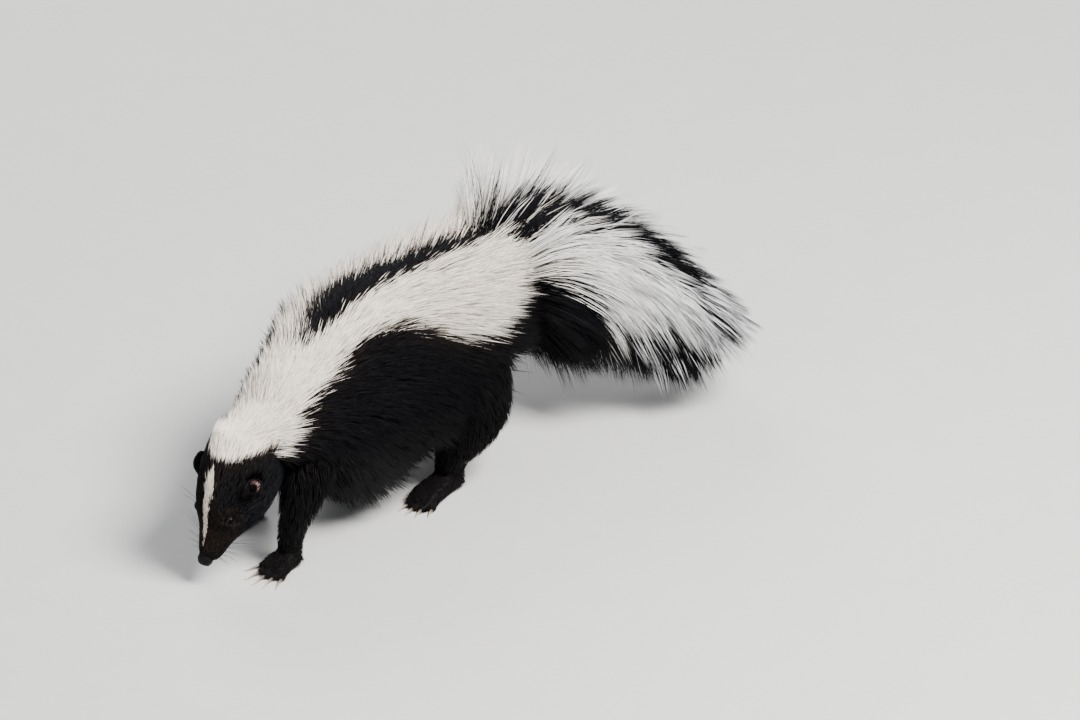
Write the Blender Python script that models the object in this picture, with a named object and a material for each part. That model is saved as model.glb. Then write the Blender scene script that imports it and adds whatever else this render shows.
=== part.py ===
"""A striped skunk at life size, walking with its nose to the ground and its plumed tail trailing.

Metres, +Z up. The animal faces -X, its left side is -Y, and its four soles stand on Z = 0.
The shapes are laid out in the skunk's own frame, where X = 0 is the left hind toes, and
stand_on_origin moves the finished pieces so that the origin is the middle of the floor under it.
"""

import math
import random

import bmesh
import bpy
import numpy as np
from mathutils import Matrix, Vector

GAP = 0.0003
SHORTEST_EDGE = 0.00004
FUR_SEED = 11
LEFT, RIGHT = -1, 1
UP = np.array([0.0, 0.0, 1.0])

BLACK_FUR = ((0.012, 0.011, 0.012, 1.0), 0.62)
WHITE_FUR = ((0.80, 0.77, 0.71, 1.0), 0.70)
NOSE_SKIN = ((0.045, 0.032, 0.032, 1.0), 0.38)
EAR_SKIN = ((0.30, 0.16, 0.16, 1.0), 0.55)
EYE_GLOSS = ((0.010, 0.006, 0.005, 1.0), 0.06)
CLAW_HORN = ((0.34, 0.29, 0.23, 1.0), 0.35)

NOSE_TIP = np.array([-0.1742, -0.0195, 0.0150])
HEAD_PITCH = 62.0
HEAD_LENGTH = 0.084
NOSTRIL_OUT, NOSTRIL_RISE, NOSTRIL_RADIUS = 0.0026, 0.0012, 0.0014
NOSTRIL_STRETCH = (1.6, 0.85, 1.1)
# Behind the nose tip, half width, above, below and rise of the middle, from the lips to the nape.
HEAD_SECTIONS = (
    (0.0053, 0.0062, 0.0060, 0.0070, 0.0000),
    (0.0120, 0.0090, 0.0084, 0.0096, 0.0000),
    (0.0220, 0.0126, 0.0124, 0.0134, -0.0004),
    (0.0340, 0.0188, 0.0190, 0.0186, -0.0015),
    (0.0460, 0.0246, 0.0246, 0.0228, -0.0024),
    (0.0600, 0.0282, 0.0290, 0.0256, -0.0030),
    (0.0740, 0.0292, 0.0308, 0.0268, -0.0030),
    (0.0840, 0.0295, 0.0310, 0.0275, -0.0030),
)
CROWN_POWER = 1.75
CHEEK_POWER = 2.15
MOUTH_CORNER = 0.031
MOUTH_ANGLE = math.radians(122)
MOUTH_HALF_ANGLE = math.radians(7)
LIP_CREASE = 0.0013

EYE_BEHIND_NOSE = 0.0357
EYE_OUT = 0.0142
EYE_RISE = 0.0080
EYE_RADIUS = 0.0037
LID_RADIUS = 0.0010
EAR_BEHIND_NOSE = 0.0550
EAR_OUT = 0.0212
EAR_RISE = 0.0080
EAR_HEIGHT = 0.0140
EAR_WIDTH = 0.0160
EAR_THICKNESS = 0.0016

NECK_JOIN_X = -0.097
TAIL_JOIN_X = 0.110
# x, y, z of the widest level, half width, above, below, tilt, coat on the back, coat on the flank.
TRUNK_STATIONS = {
    "nape": (-0.1322, -0.0195, 0.0878, 0.0295, 0.0310, 0.0275, 62.0, 0.010, 0.007),
    "neck": (-0.1130, -0.0170, 0.0880, 0.0345, 0.0275, 0.0400, 44.0, 0.012, 0.009),
    "shoulders": (-0.0880, -0.0135, 0.0850, 0.0450, 0.0420, 0.0540, 26.0, 0.017, 0.011),
    "withers": (-0.0550, -0.0095, 0.0780, 0.0545, 0.0630, 0.0590, 14.0, 0.023, 0.013),
    "back": (-0.0180, -0.0030, 0.0700, 0.0610, 0.0940, 0.0400, 5.0, 0.030, 0.014),
    "loin": (0.0250, 0.0000, 0.0690, 0.0640, 0.0980, 0.0320, -2.0, 0.034, 0.015),
    "hips": (0.0650, 0.0000, 0.0760, 0.0600, 0.0880, 0.0380, -6.0, 0.034, 0.017),
    "rump": (0.0960, 0.0000, 0.0930, 0.0450, 0.0660, 0.0420, -12.0, 0.032, 0.018),
    "tail_base": (0.1200, -0.0010, 0.1080, 0.0340, 0.0460, 0.0340, -16.0, 0.030, 0.020),
}
RIDGE_POWER = 1.75
BELLY_POWER = 2.15
TORSO_RINGS = 15
NECK_RINGS = 6
CORE_SHARE = 0.5
NECK_CORE_SHARE = 0.3
TORSO_SIDES = 24
LOCK_CURL = 0.35
LOCK_RIDGE = 0.26
LOCK_WIDTH = 0.0175
LONGEST_LOCK = 0.050
NECK_ROW, TORSO_ROW, LOCK_SPACING = 0.014, 0.025, 0.0165
NECK_HALF_TURN, TORSO_HALF_TURN = math.radians(85), math.radians(112)

# x, y, z, radius of the tail's own body under the long hair.
TAIL_STATIONS = (
    (0.1110, 0.0000, 0.1070, 0.0330),
    (0.1350, -0.0050, 0.1150, 0.0280),
    (0.1630, -0.0170, 0.1130, 0.0240),
    (0.1890, -0.0340, 0.1010, 0.0210),
    (0.2080, -0.0510, 0.0850, 0.0170),
    (0.2200, -0.0640, 0.0720, 0.0085),
)
TAIL_HAIR = 0.084
TAIL_ROWS, TAIL_LOCKS_A_ROW = 6, 15
TAIL_FLOOR = 0.006
FLOOR_EASE = 0.02

# Each paw's sizes, with the angle that its toes spread over. A foot stands with its middle at a
# place on the floor, and its ankle at a share of its length from the heel.
FORE_PAW = dict(length=0.026, width=0.021, height=0.0130, toe=0.0095, claw=0.0115, spread=24.0)
HIND_PAW = dict(length=0.046, width=0.022, height=0.0140, toe=0.0100, claw=0.0070, spread=20.0)
ANKLE_HEIGHT = 0.018
WRIST_FOOT, WRIST_LEAN = 0.005, 0.002
CLAW_TIP_HEIGHT, CLAW_CLEAR = 0.0009, 0.0004
FEET = {
    "fore_left": dict(side=LEFT, paw=FORE_PAW, at=(-0.1220, -0.0410), ankle=0.26, toe_out=4.0),
    "fore_right": dict(side=RIGHT, paw=FORE_PAW, at=(-0.0960, 0.0220), ankle=0.26, toe_out=8.0),
    "hind_left": dict(side=LEFT, paw=HIND_PAW, at=(0.0180, -0.0450), ankle=0.24, toe_out=8.0),
    "hind_right": dict(side=RIGHT, paw=HIND_PAW, at=(0.0720, 0.0400), ankle=0.24, toe_out=10.0),
}
# Along, half width and height of a palm as shares of its paw's, from heel to toes.
PALM_OUTLINE = (
    (-0.50, 0.34, 0.52),
    (-0.38, 0.72, 0.92),
    (-0.10, 0.86, 1.00),
    (0.25, 1.00, 0.78),
    (0.50, 0.86, 0.52),
)
# Offsets from the ankle (forward, outward, up) and radius, from the ankle to inside the trunk.
LEG_PATHS = {
    "fore": (
        (0.000, 0.000, 0.000, 0.0074),
        (-0.001, 0.002, 0.013, 0.0092),
        (-0.008, 0.003, 0.034, 0.0145),
        (-0.026, -0.008, 0.062, 0.0220),
    ),
    "hind": (
        (0.000, 0.000, 0.000, 0.0092),
        (-0.004, 0.002, 0.012, 0.0140),
        (-0.016, -0.001, 0.032, 0.0270),
        (-0.026, -0.018, 0.062, 0.0330),
    ),
}


def spline(knots, values):
    """A natural cubic through the values, one column each, as a function of the knots' parameter."""
    knots, values = np.asarray(knots, float), np.asarray(values, float)
    count, step = len(knots), np.diff(knots)
    system, right = np.eye(count), np.zeros_like(values)
    for i in range(1, count - 1):
        system[i, i - 1 : i + 2] = step[i - 1], 2 * (step[i - 1] + step[i]), step[i]
        right[i] = 6 * ((values[i + 1] - values[i]) / step[i] - (values[i] - values[i - 1]) / step[i - 1])
    bend = np.linalg.solve(system, right)

    def at(t):
        t = np.clip(np.asarray(t, float), knots[0], knots[-1])
        i = np.clip(np.searchsorted(knots, t, side="right") - 1, 0, count - 2)
        h = step[i][..., None]
        a, b = (knots[i + 1] - t)[..., None], (t - knots[i])[..., None]
        curve = (bend[i] * a**3 + bend[i + 1] * b**3) / (6 * h)
        return curve + (values[i] / h - bend[i] * h / 6) * a + (values[i + 1] / h - bend[i + 1] * h / 6) * b

    return at


def unit(vector):
    """The vector, or each row of vectors, at length 1."""
    return vector / np.linalg.norm(vector, axis=-1, keepdims=True)


def section(angles, width, above, below, top_power=2.0, bottom_power=2.0):
    """Offsets to the left and up of a closed section. Angle 0 is its top, and it turns to the left."""
    s, c = np.sin(angles), np.cos(angles)
    power = np.where(c > 0, top_power, bottom_power)
    left = width * np.sign(s) * np.abs(s) ** (2 / power)
    up = np.where(c > 0, above, below) * np.sign(c) * np.abs(c) ** (2 / power)
    return left, up


TRUNK = spline([row[0] for row in TRUNK_STATIONS.values()], list(TRUNK_STATIONS.values()))


def trunk_surface(x, angle, share=0.0, grow=0.0):
    """A point of the coat at station x and angle, share of the coat's depth inside it, and its normal."""
    at = np.atleast_2d(TRUNK(x))
    angle = np.broadcast_to(np.atleast_1d(angle), (len(at),))
    tilt = np.radians(at[:, 6])
    left = np.array([0.0, -1.0, 0.0])
    rise = np.stack([-np.sin(tilt), 0 * tilt, np.cos(tilt)], axis=1)
    on_back = np.clip(np.cos(angle) + 0.1, 0, 1) ** 1.5
    depth = share * (at[:, 8] + (at[:, 7] - at[:, 8]) * on_back) - grow
    sideways, upward = section(angle, at[:, 3], at[:, 4], at[:, 5], RIDGE_POWER, BELLY_POWER)
    height = np.where(upward > 0, at[:, 4], at[:, 5])
    out = unit((sideways / at[:, 3] ** 2)[:, None] * left + (upward / height**2)[:, None] * rise)
    return at[:, :3] + sideways[:, None] * left + upward[:, None] * rise - depth[:, None] * out, out


def head_axes():
    """The head's forward, left and up directions."""
    pitch = math.radians(HEAD_PITCH)
    forward = np.array([-math.cos(pitch), 0.0, -math.sin(pitch)])
    left = np.array([0.0, -1.0, 0.0])
    return forward, left, np.array([-math.sin(pitch), 0.0, math.cos(pitch)])


def head_point(behind, out, rise):
    """A point from its distance behind the nose tip, to the left and up, in the head's own axes."""
    forward, left, up = head_axes()
    return NOSE_TIP - forward * behind + left * out + up * rise


HEAD = spline([row[0] for row in HEAD_SECTIONS], HEAD_SECTIONS)


def head_ring(behind, angles, grow=0.0):
    """The head's outline at a distance behind the nose tip, with the line of the mouth drawn in."""
    _, width, above, below, rise = HEAD(behind)
    left, up = section(angles, width + grow, above + grow, below + grow, CROWN_POWER, CHEEK_POWER)
    open_mouth = np.clip((MOUTH_CORNER - behind) / 0.004, 0, 1)
    at_lips = np.abs(np.abs(angles) - MOUTH_ANGLE) < math.radians(1)
    shrink = 1 - at_lips * open_mouth * LIP_CREASE / width
    return np.array([head_point(behind, a, rise + b) for a, b in zip(left * shrink, up * shrink)])


def mesh_object(name, points, faces, material=None):
    """An object of these points and faces, its normals pointing out, shaded smooth."""
    mesh = bpy.data.meshes.new(name)
    mesh.from_pydata([tuple(map(float, p)) for p in points], [], faces)
    shape = bmesh.new()
    shape.from_mesh(mesh)
    bmesh.ops.recalc_face_normals(shape, faces=shape.faces)
    shape.to_mesh(mesh)
    shape.free()
    mesh.shade_smooth()
    made = bpy.data.objects.new(name, mesh)
    bpy.context.scene.collection.objects.link(made)
    if material:
        mesh.materials.append(material)
    return made


def loft(name, rings, material=None, tip=None):
    """Rings of equal size joined into a closed body, flat at its ends, or drawn to a tip point."""
    rings = np.asarray(rings)
    count, sides = rings.shape[:2]
    faces = [list(range(sides))]
    for ring in range(count - 1):
        for side in range(sides):
            a, b = ring * sides + side, ring * sides + (side + 1) % sides
            faces += [[a, b, b + sides], [a, b + sides, a + sides]]
    points = list(rings.reshape(-1, 3))
    last = (count - 1) * sides
    if tip is None:
        faces.append([last + side for side in reversed(range(sides))])
    else:
        points.append(tip)
        faces += [[last + side, last + (side + 1) % sides, last + sides] for side in range(sides)]
    return mesh_object(name, points, faces, material)


def tube_rings(path, radii, sides, flat=1.0, outward=None):
    """Round rings across a path of points. flat squeezes them along outward."""
    along = unit(np.gradient(path, axis=0))
    reference = UP if outward is None else outward
    across = unit(np.cross(along, reference))
    over = np.cross(across, along)
    angles = np.linspace(0, 2 * np.pi, sides, endpoint=False)[:, None]
    return np.array([
        p + r * (np.cos(angles) * a + np.sin(angles) * flat * o)
        for p, r, a, o in zip(path, radii, across, over)
    ])


def apply_boolean(target, operation, other=None, collection=None, solver="EXACT"):
    """Joins or cuts target with one object or a collection, and removes what was used."""
    step = target.modifiers.new(operation.title(), "BOOLEAN")
    step.operation = operation
    step.solver = solver
    if collection is None:
        step.object = other
    else:
        step.operand_type = "COLLECTION"
        step.collection = collection
    evaluated = target.evaluated_get(bpy.context.evaluated_depsgraph_get())
    mesh = bpy.data.meshes.new_from_object(evaluated)
    target.modifiers.clear()
    old, name = target.data, target.data.name
    target.data = mesh
    bpy.data.meshes.remove(old)
    mesh.name = name
    for used in [other] if collection is None else list(collection.objects):
        bpy.data.objects.remove(used)
    if collection is not None:
        bpy.data.collections.remove(collection)
    return target


def keep_largest_body(target):
    """Leaves only the mesh's largest closed surface, with its shortest edges merged."""
    shape = bmesh.new()
    shape.from_mesh(target.data)
    bmesh.ops.triangulate(shape, faces=shape.faces)
    bmesh.ops.dissolve_degenerate(shape, edges=shape.edges, dist=SHORTEST_EDGE)
    left, bodies = set(shape.faces), []
    while left:
        body = [left.pop()]
        for face in body:
            for edge in face.edges:
                for other in edge.link_faces:
                    if len(edge.link_faces) == 2 and other in left:
                        left.discard(other)
                        body.append(other)
        bodies.append(body)
    bodies.sort(key=len)
    bmesh.ops.delete(shape, geom=[face for body in bodies[:-1] for face in body], context="FACES")
    shape.to_mesh(target.data)
    shape.free()
    target.data.shade_smooth()
    return target


def half_space(name, point, normal, size=0.6):
    """A box whose one face passes through the point, with the body of it on the normal's side."""
    box = bmesh.new()
    bmesh.ops.create_cube(box, size=size)
    turn = Vector(normal).to_track_quat("Z", "Y").to_matrix().to_4x4()
    place = Matrix.Translation(Vector(point) + Vector(normal) * size / 2) @ turn
    bmesh.ops.transform(box, matrix=place, verts=box.verts)
    mesh = bpy.data.meshes.new(name)
    box.to_mesh(mesh)
    box.free()
    made = bpy.data.objects.new(name, mesh)
    bpy.context.scene.collection.objects.link(made)
    return made


def grouped(name, pieces):
    """A collection that holds these pieces and nothing else does."""
    group = bpy.data.collections.new(name)
    bpy.context.scene.collection.children.link(group)
    for piece in pieces:
        bpy.context.scene.collection.objects.unlink(piece)
        group.objects.link(piece)
    return group


def finish(name, colour, roughness, metallic=0.0):
    """A plain Principled material."""
    material = bpy.data.materials.new(name)
    material.use_nodes = True
    shader = material.node_tree.nodes["Principled BSDF"]
    shader.inputs["Base Color"].default_value = colour
    shader.inputs["Roughness"].default_value = roughness
    shader.inputs["Metallic"].default_value = metallic
    return material


def lock(name, root, normal, flow, length, width, lift, droop, sunk=0.006, bends=2):
    """A flat, tapered lock of hair. It leaves the skin at the lift angle, lies along the flow,
    bends down by the droop and ends in a point."""
    root, normal, flow = (np.asarray(v, float) for v in (root, normal, flow))
    flow = unit(flow - normal * (flow @ normal))
    heading = unit(flow * math.cos(lift) + normal * math.sin(lift))
    steps = bends + 1
    here, path = root - unit(heading + normal) * sunk, []
    for i in range(steps + 1):
        path.append(here)
        share = (i + 0.5) / steps
        direction = unit(heading - UP * droop * share**1.4 - normal * math.sin(lift) * LOCK_CURL * share)
        here = here + direction * (length + sunk) / steps
    path = np.array(path)
    along = np.gradient(path, axis=0)
    across = unit(np.cross(along, normal))
    over = unit(np.cross(across, along))
    share = np.linspace(0, 1, steps + 1)[:-1]
    half = 0.5 * width * (0.75 + 0.9 * share - 1.35 * share**2)
    rings = [
        [p + a * h, p + o * h * LOCK_RIDGE, p - a * h, p - o * h * LOCK_RIDGE]
        for p, a, o, h in zip(path, across, over, half)
    ]
    return loft(name, rings, tip=path[-1])


def clear_of_legs(points, legs, room=0.004):
    """True if these points keep clear of every leg's flesh."""
    for path, radii in legs:
        near = np.linalg.norm(points[:, None] - path[None], axis=2) - radii[None]
        if near.min() < room:
            return False
    return True


def leg_path(foot):
    """The leg's middle line and radii, finely enough to cut and to keep clear of."""
    kind = "fore" if foot["paw"] is FORE_PAW else "hind"
    ankle = ankle_point(foot)
    rows = []
    for forward, outward, up, radius in LEG_PATHS[kind]:
        rows.append((ankle[0] - forward, ankle[1] + foot["side"] * outward, ankle[2] + up, radius))
    fine = spline(np.linspace(0, 1, len(rows)), rows)(np.linspace(0, 1, 9))
    return fine[:, :3], fine[:, 3]


def foot_axes(foot):
    """A paw's forward and outward directions on the floor."""
    turn = math.radians(foot["toe_out"]) * foot["side"]
    forward = np.array([-math.cos(turn), math.sin(turn), 0.0])
    outward = np.array([math.sin(turn), math.cos(turn), 0.0]) * foot["side"]
    return forward, outward


def ankle_point(foot):
    """Where the leg meets the paw."""
    forward, _ = foot_axes(foot)
    back = (0.5 - foot["ankle"]) * foot["paw"]["length"]
    return np.array([*foot["at"], 0.0]) - forward * back + UP * ANKLE_HEIGHT


def flat_bottomed(middle, outward, half_width, height, sides=12):
    """An upright ring across the foot that is round above and flat on the floor below."""
    angles = np.linspace(0, 2 * np.pi, sides, endpoint=False) + math.pi / sides
    side, up = half_width * np.sin(angles), height * (0.5 + 0.62 * np.cos(angles))
    return np.array([middle + outward * a + UP * max(0.0, min(b, height)) for a, b in zip(side, up)])


def make_paw(name, foot, material):
    """The paw: a flat-soled palm, five toes side by side and a short wrist up to the leg."""
    paw, (forward, outward) = foot["paw"], foot_axes(foot)
    length, half_width, height = paw["length"], paw["width"] / 2, paw["height"]
    middle = np.array([*foot["at"], 0.0])
    palm = loft(name, [
        flat_bottomed(middle + forward * length * a, outward, half_width * w, height * h)
        for a, w, h in PALM_OUTLINE
    ], material)
    parts = [make_toe(name, foot, index) for index in range(5)]
    ankle, radius = ankle_point(foot), leg_path(foot)[1][0]
    angles = np.linspace(0, 2 * np.pi, 10, endpoint=False)[:, None]
    round_it = radius * (np.cos(angles) * forward + np.sin(angles) * outward)
    low = ankle - UP * (ANKLE_HEIGHT - WRIST_FOOT) + forward * WRIST_LEAN
    parts.append(loft(name + "_wrist", [low + 0.92 * round_it, ankle - UP * GAP + round_it]))
    return apply_boolean(palm, "UNION", collection=grouped(name + "_parts", parts))


def toe_line(foot, index):
    """A toe's start, direction, length and half width. Toe 0 is the inner one, set back as a thumb is."""
    paw, (forward, outward) = foot["paw"], foot_axes(foot)
    place = (index - 2) / 2
    turn = math.radians(paw["spread"]) * place
    direction = unit(forward * math.cos(turn) + outward * math.sin(turn))
    reach = paw["length"] * (0.44 - 0.10 * place**2 - (0.16 if index == 0 else 0.0))
    start = np.array([*foot["at"], 0.0]) + forward * reach + outward * paw["width"] * 0.39 * place
    return start, direction, paw["toe"] * (1.0 - 0.12 * abs(place)), paw["width"] * 0.118


def make_toe(name, foot, index):
    """A toe with a low knuckle, flat at its end where the claw grows."""
    start, direction, length, half = toe_line(foot, index)
    across = np.cross(UP, direction)
    outline = ((-0.5, 0.9, 1.0), (0.5, 1.0, 1.12), (1.0, 0.66, 0.72))
    rings = [
        flat_bottomed(start + direction * length * a, across, half * w, half * 1.75 * h, sides=6)
        for a, w, h in outline
    ]
    return loft(f"{name}_toe_{index}", rings)


def make_claw(name, foot, index, material):
    """A curved, tapering claw that starts flat against the end of its toe."""
    start, direction, length, half = toe_line(foot, index)
    reach, radius = foot["paw"]["claw"], half * 0.50
    base = start + direction * (length + GAP) + UP * half * 0.66
    share = np.linspace(0, 1, 5)
    fall = (0.12 * share - 0.36 * share**2)[:, None]
    path = base + reach * (share[:, None] * direction + fall * UP)
    path[:, 2] = np.maximum(path[:, 2], CLAW_TIP_HEIGHT + 0.0006 * (1 - share))
    across = np.cross(UP, direction)
    angles = np.linspace(0, 2 * np.pi, 6, endpoint=False)[:, None]
    sizes = radius * (1 - share) ** 0.75
    round_it = 0.8 * np.cos(angles) * across + np.sin(angles) * UP
    rings = np.array([p + r * round_it for p, r in zip(path[:-1], sizes[:-1])])
    rings[..., 2] = np.maximum(rings[..., 2], CLAW_CLEAR)
    return loft(name, rings, material, tip=path[-1])


def make_leg(name, foot, material):
    """The leg's furred flesh from the ankle up, cut to fit against the trunk."""
    path, radii = leg_path(foot)
    rings = tube_rings(path, radii, 16, outward=np.array([1.0, 0.0, 0.0]))
    rings[0, :, 2] = ANKLE_HEIGHT
    leg = loft(name, rings, material)
    apply_boolean(leg, "DIFFERENCE", neck_core("neck_cutter", grow=GAP))
    apply_boolean(leg, "DIFFERENCE", torso_core("torso_cutter", grow=GAP))
    if foot["paw"] is FORE_PAW:
        apply_boolean(leg, "DIFFERENCE", head_loft("head_cutter", grow=GAP))
    return keep_largest_body(leg)


def trunk_body(name, start, end, share, grow, material, rings):
    """The trunk between two stations, share of the coat's depth inside its surface."""
    angles = np.linspace(0, 2 * np.pi, TORSO_SIDES, endpoint=False)
    sections = []
    for x in np.linspace(start, end, rings):
        here = np.full(TORSO_SIDES, x)
        sections.append(trunk_surface(here, angles, share, grow)[0])
    return loft(name, sections, material)


def neck_core(name, grow=0.0, material=None):
    """The neck inside its coat, from the nape to the shoulders."""
    start = TRUNK_STATIONS["nape"][0] + GAP
    return trunk_body(name, start, NECK_JOIN_X, NECK_CORE_SHARE, grow, material, NECK_RINGS)


def torso_core(name, grow=0.0, material=None):
    """The torso inside its coat, on which the locks stand."""
    start = NECK_JOIN_X + GAP
    return trunk_body(name, start, TAIL_JOIN_X, CORE_SHARE, grow, material, TORSO_RINGS)


def coat_rows(start, end, along, half_turn, rng):
    """Staggered places on the trunk's coat, as station and angle, in rings round its back and flanks."""
    places, rows = [], max(2, round((end - start) / along))
    for row in range(rows):
        x = start + (end - start) * (row + 0.5) / rows
        turn = half_turn * (1 - 0.30 * max(0.0, (x - 0.05) / 0.06))
        count = max(3, round(turn * (TRUNK(x)[3] + TRUNK(x)[4]) / LOCK_SPACING))
        for i in range(count):
            angle = turn * (2 * (i + 0.5 * (row % 2) + 0.25) / count - 1)
            places.append((x + rng.uniform(-0.2, 0.2) * along, angle + rng.uniform(-0.04, 0.04)))
    return places


def trunk_locks(name, start, end, along, half_turn, legs):
    """Locks of the trunk's long coat, rooted in its core and lying back over each other."""
    rng, made = random.Random(FUR_SEED), []
    for x, angle in coat_rows(start, end, along, half_turn, rng):
        x = min(max(x, start), end)
        root, normal = (v[0] for v in trunk_surface(x, angle, share=CORE_SHARE + 0.05))
        coat = TRUNK(x)
        on_back = max(0.0, math.cos(angle)) ** 1.5
        depth = coat[8] + (coat[7] - coat[8]) * on_back
        rise = on_back * min(1.0, max(0.0, (x + 0.10) / 0.06))
        lift = math.radians(16 + 32 * rise)
        length = (CORE_SHARE * depth + 0.013 * rise) / math.sin(lift)
        length = min(LONGEST_LOCK, length) * rng.uniform(0.92, 1.1)
        flow = np.array([1.0, 0.0, -0.55 * abs(math.sin(angle))])
        tip = root + unit(flow) * length * 0.9
        if not clear_of_legs(np.array([root, (root + tip) / 2, tip]), legs):
            continue
        width = LOCK_WIDTH * rng.uniform(0.9, 1.1) * min(1.0, 0.55 + length / 0.06)
        made.append(lock(f"{name}_lock", root, normal, flow, length, width, lift, 0.25))
    return made


TAIL = spline(np.linspace(0, 1, len(TAIL_STATIONS)), TAIL_STATIONS)


def tail_frame(share):
    """The tail's middle, radius, direction, left and up at a share of its length."""
    here = TAIL(share)
    along = unit((TAIL(share + 0.01) - TAIL(share - 0.01))[:3])
    left = unit(np.cross(along, UP))
    return here[:3], here[3], along, left, np.cross(left, along)


def tail_locks(name, rows, per_row):
    """The long hair of the tail in rings. It stands up off the top of the root, spreads and falls at
    the sides, and trails past the tip."""
    rng, made = random.Random(FUR_SEED + 1), []
    for row in range(rows):
        share = 0.04 + 0.94 * row / (rows - 1)
        middle, radius, along, left, up = tail_frame(share)
        count = max(5, round(per_row * (0.5 + 0.5 * radius / TAIL_STATIONS[0][3])))
        for i in range(count):
            angle = 2 * math.pi * (i + 0.5 * (row % 2) + rng.uniform(-0.15, 0.15)) / count
            normal = unit(left * math.sin(angle) + up * math.cos(angle))
            top, side = 0.5 + 0.5 * math.cos(angle), abs(math.sin(angle))
            lift = math.radians(58 - 22 * top + 4 * side + 14 * (1 - top) ** 2) * (1 - 0.35 * share)
            lift *= rng.uniform(0.85, 1.15)
            length = TAIL_HAIR * (1 - 0.22 * share**2 - 0.14 * top * (1 - share)) * rng.uniform(0.88, 1.08)
            droop = 0.10 + 0.50 * side + 0.35 * share + 0.40 * (1 - top) * (1 - share)
            root = middle + normal * radius * 0.9
            width = LOCK_WIDTH * rng.uniform(0.95, 1.15)
            piece = lock(f"{name}_lock", root, normal, along, length, width, lift, droop, sunk=0.008)
            keep_off_floor(piece, TAIL_FLOOR)
            made.append(piece)
    return made


def keep_off_floor(piece, floor):
    """Bends what would reach below the floor height so that it runs out along it."""
    for vert in piece.data.vertices:
        low = min(vert.co.z, floor + FLOOR_EASE)
        vert.co.z += floor + FLOOR_EASE * math.exp((low - floor - FLOOR_EASE) / FLOOR_EASE) - low


def head_loft(name, grow=0.0, material=None):
    """The head from lips to nape, with the line of the mouth, before eyes and lids are set in."""
    lips = np.array([-1.0, 0.0, 1.0]) * MOUTH_HALF_ANGLE + MOUTH_ANGLE
    lip_end = MOUTH_ANGLE - MOUTH_HALF_ANGLE
    jaw_start = MOUTH_ANGLE + MOUTH_HALF_ANGLE
    upper = np.linspace(-lip_end, lip_end, 17)[1:-1]
    lower = np.linspace(jaw_start, 2 * np.pi - jaw_start, 6)[1:-1]
    angles = np.concatenate([upper, lips, lower, 2 * np.pi - lips[::-1]])
    angles = (angles + np.pi) % (2 * np.pi) - np.pi
    behind = np.concatenate([
        np.linspace(HEAD_SECTIONS[0][0], MOUTH_CORNER + 0.004, 8),
        np.linspace(MOUTH_CORNER + 0.010, HEAD_LENGTH - GAP, 7),
    ])
    return loft(name, [head_ring(b, angles, grow) for b in behind], material)


def make_head(material):
    """The head with its lids round the eyes and sockets behind them."""
    head = head_loft("head", material=material)
    lids = [lid_ring(f"lid_{side}", side) for side in (LEFT, RIGHT)]
    apply_boolean(head, "UNION", collection=grouped("lids", lids))
    for side in (LEFT, RIGHT):
        socket = ball_at(f"socket_{side}", eye_place(side)[0], EYE_RADIUS + GAP)
        apply_boolean(head, "DIFFERENCE", socket)
    return keep_largest_body(head)


def eye_place(side):
    """The eye's middle and the direction it looks in."""
    forward, left, up = head_axes()
    looks = unit(left * 0.86 * -side + forward * 0.36 + up * 0.36)
    return head_point(EYE_BEHIND_NOSE, EYE_OUT * -side, EYE_RISE), looks


def ball_at(name, middle, radius, stretch=(1.0, 1.0, 1.0), material=None):
    """A ball, or one stretched along the axes."""
    ball = bmesh.new()
    bmesh.ops.create_uvsphere(ball, u_segments=12, v_segments=8, radius=radius)
    place = Matrix.Translation(Vector(middle)) @ Matrix.Diagonal((*stretch, 1.0))
    bmesh.ops.transform(ball, matrix=place, verts=ball.verts)
    mesh = bpy.data.meshes.new(name)
    ball.to_mesh(mesh)
    ball.free()
    mesh.shade_smooth()
    made = bpy.data.objects.new(name, mesh)
    bpy.context.scene.collection.objects.link(made)
    if material:
        mesh.materials.append(material)
    return made


def lid_ring(name, side):
    """The two lids as one almond-shaped rim round the eye, pinched to its corners."""
    middle, looks = eye_place(side)
    forward, _, _ = head_axes()
    along = unit(forward - looks * (forward @ looks))
    over = np.cross(looks, along)
    count, sides = 14, 6
    turn = np.linspace(0, 2 * np.pi, count, endpoint=False)
    rim = middle + looks * EYE_RADIUS * 0.52 + EYE_RADIUS * (
        np.cos(turn)[:, None] * 1.10 * along + np.sin(turn)[:, None] * 0.80 * over
    )
    out = unit(rim - middle)
    around = unit(np.roll(rim, -1, axis=0) - np.roll(rim, 1, axis=0))
    across = np.cross(around, out)
    angles = np.linspace(0, 2 * np.pi, sides, endpoint=False)
    rings = np.array([
        p + LID_RADIUS * (np.cos(angles)[:, None] * o * 1.3 + np.sin(angles)[:, None] * a)
        for p, o, a in zip(rim, out, across)
    ])
    faces = []
    for i in range(count):
        here, there = i * sides, (i + 1) % count * sides
        for j in range(sides):
            k = (j + 1) % sides
            faces.append([here + j, here + k, there + k, there + j])
    return mesh_object(name, rings.reshape(-1, 3), faces)


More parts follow.
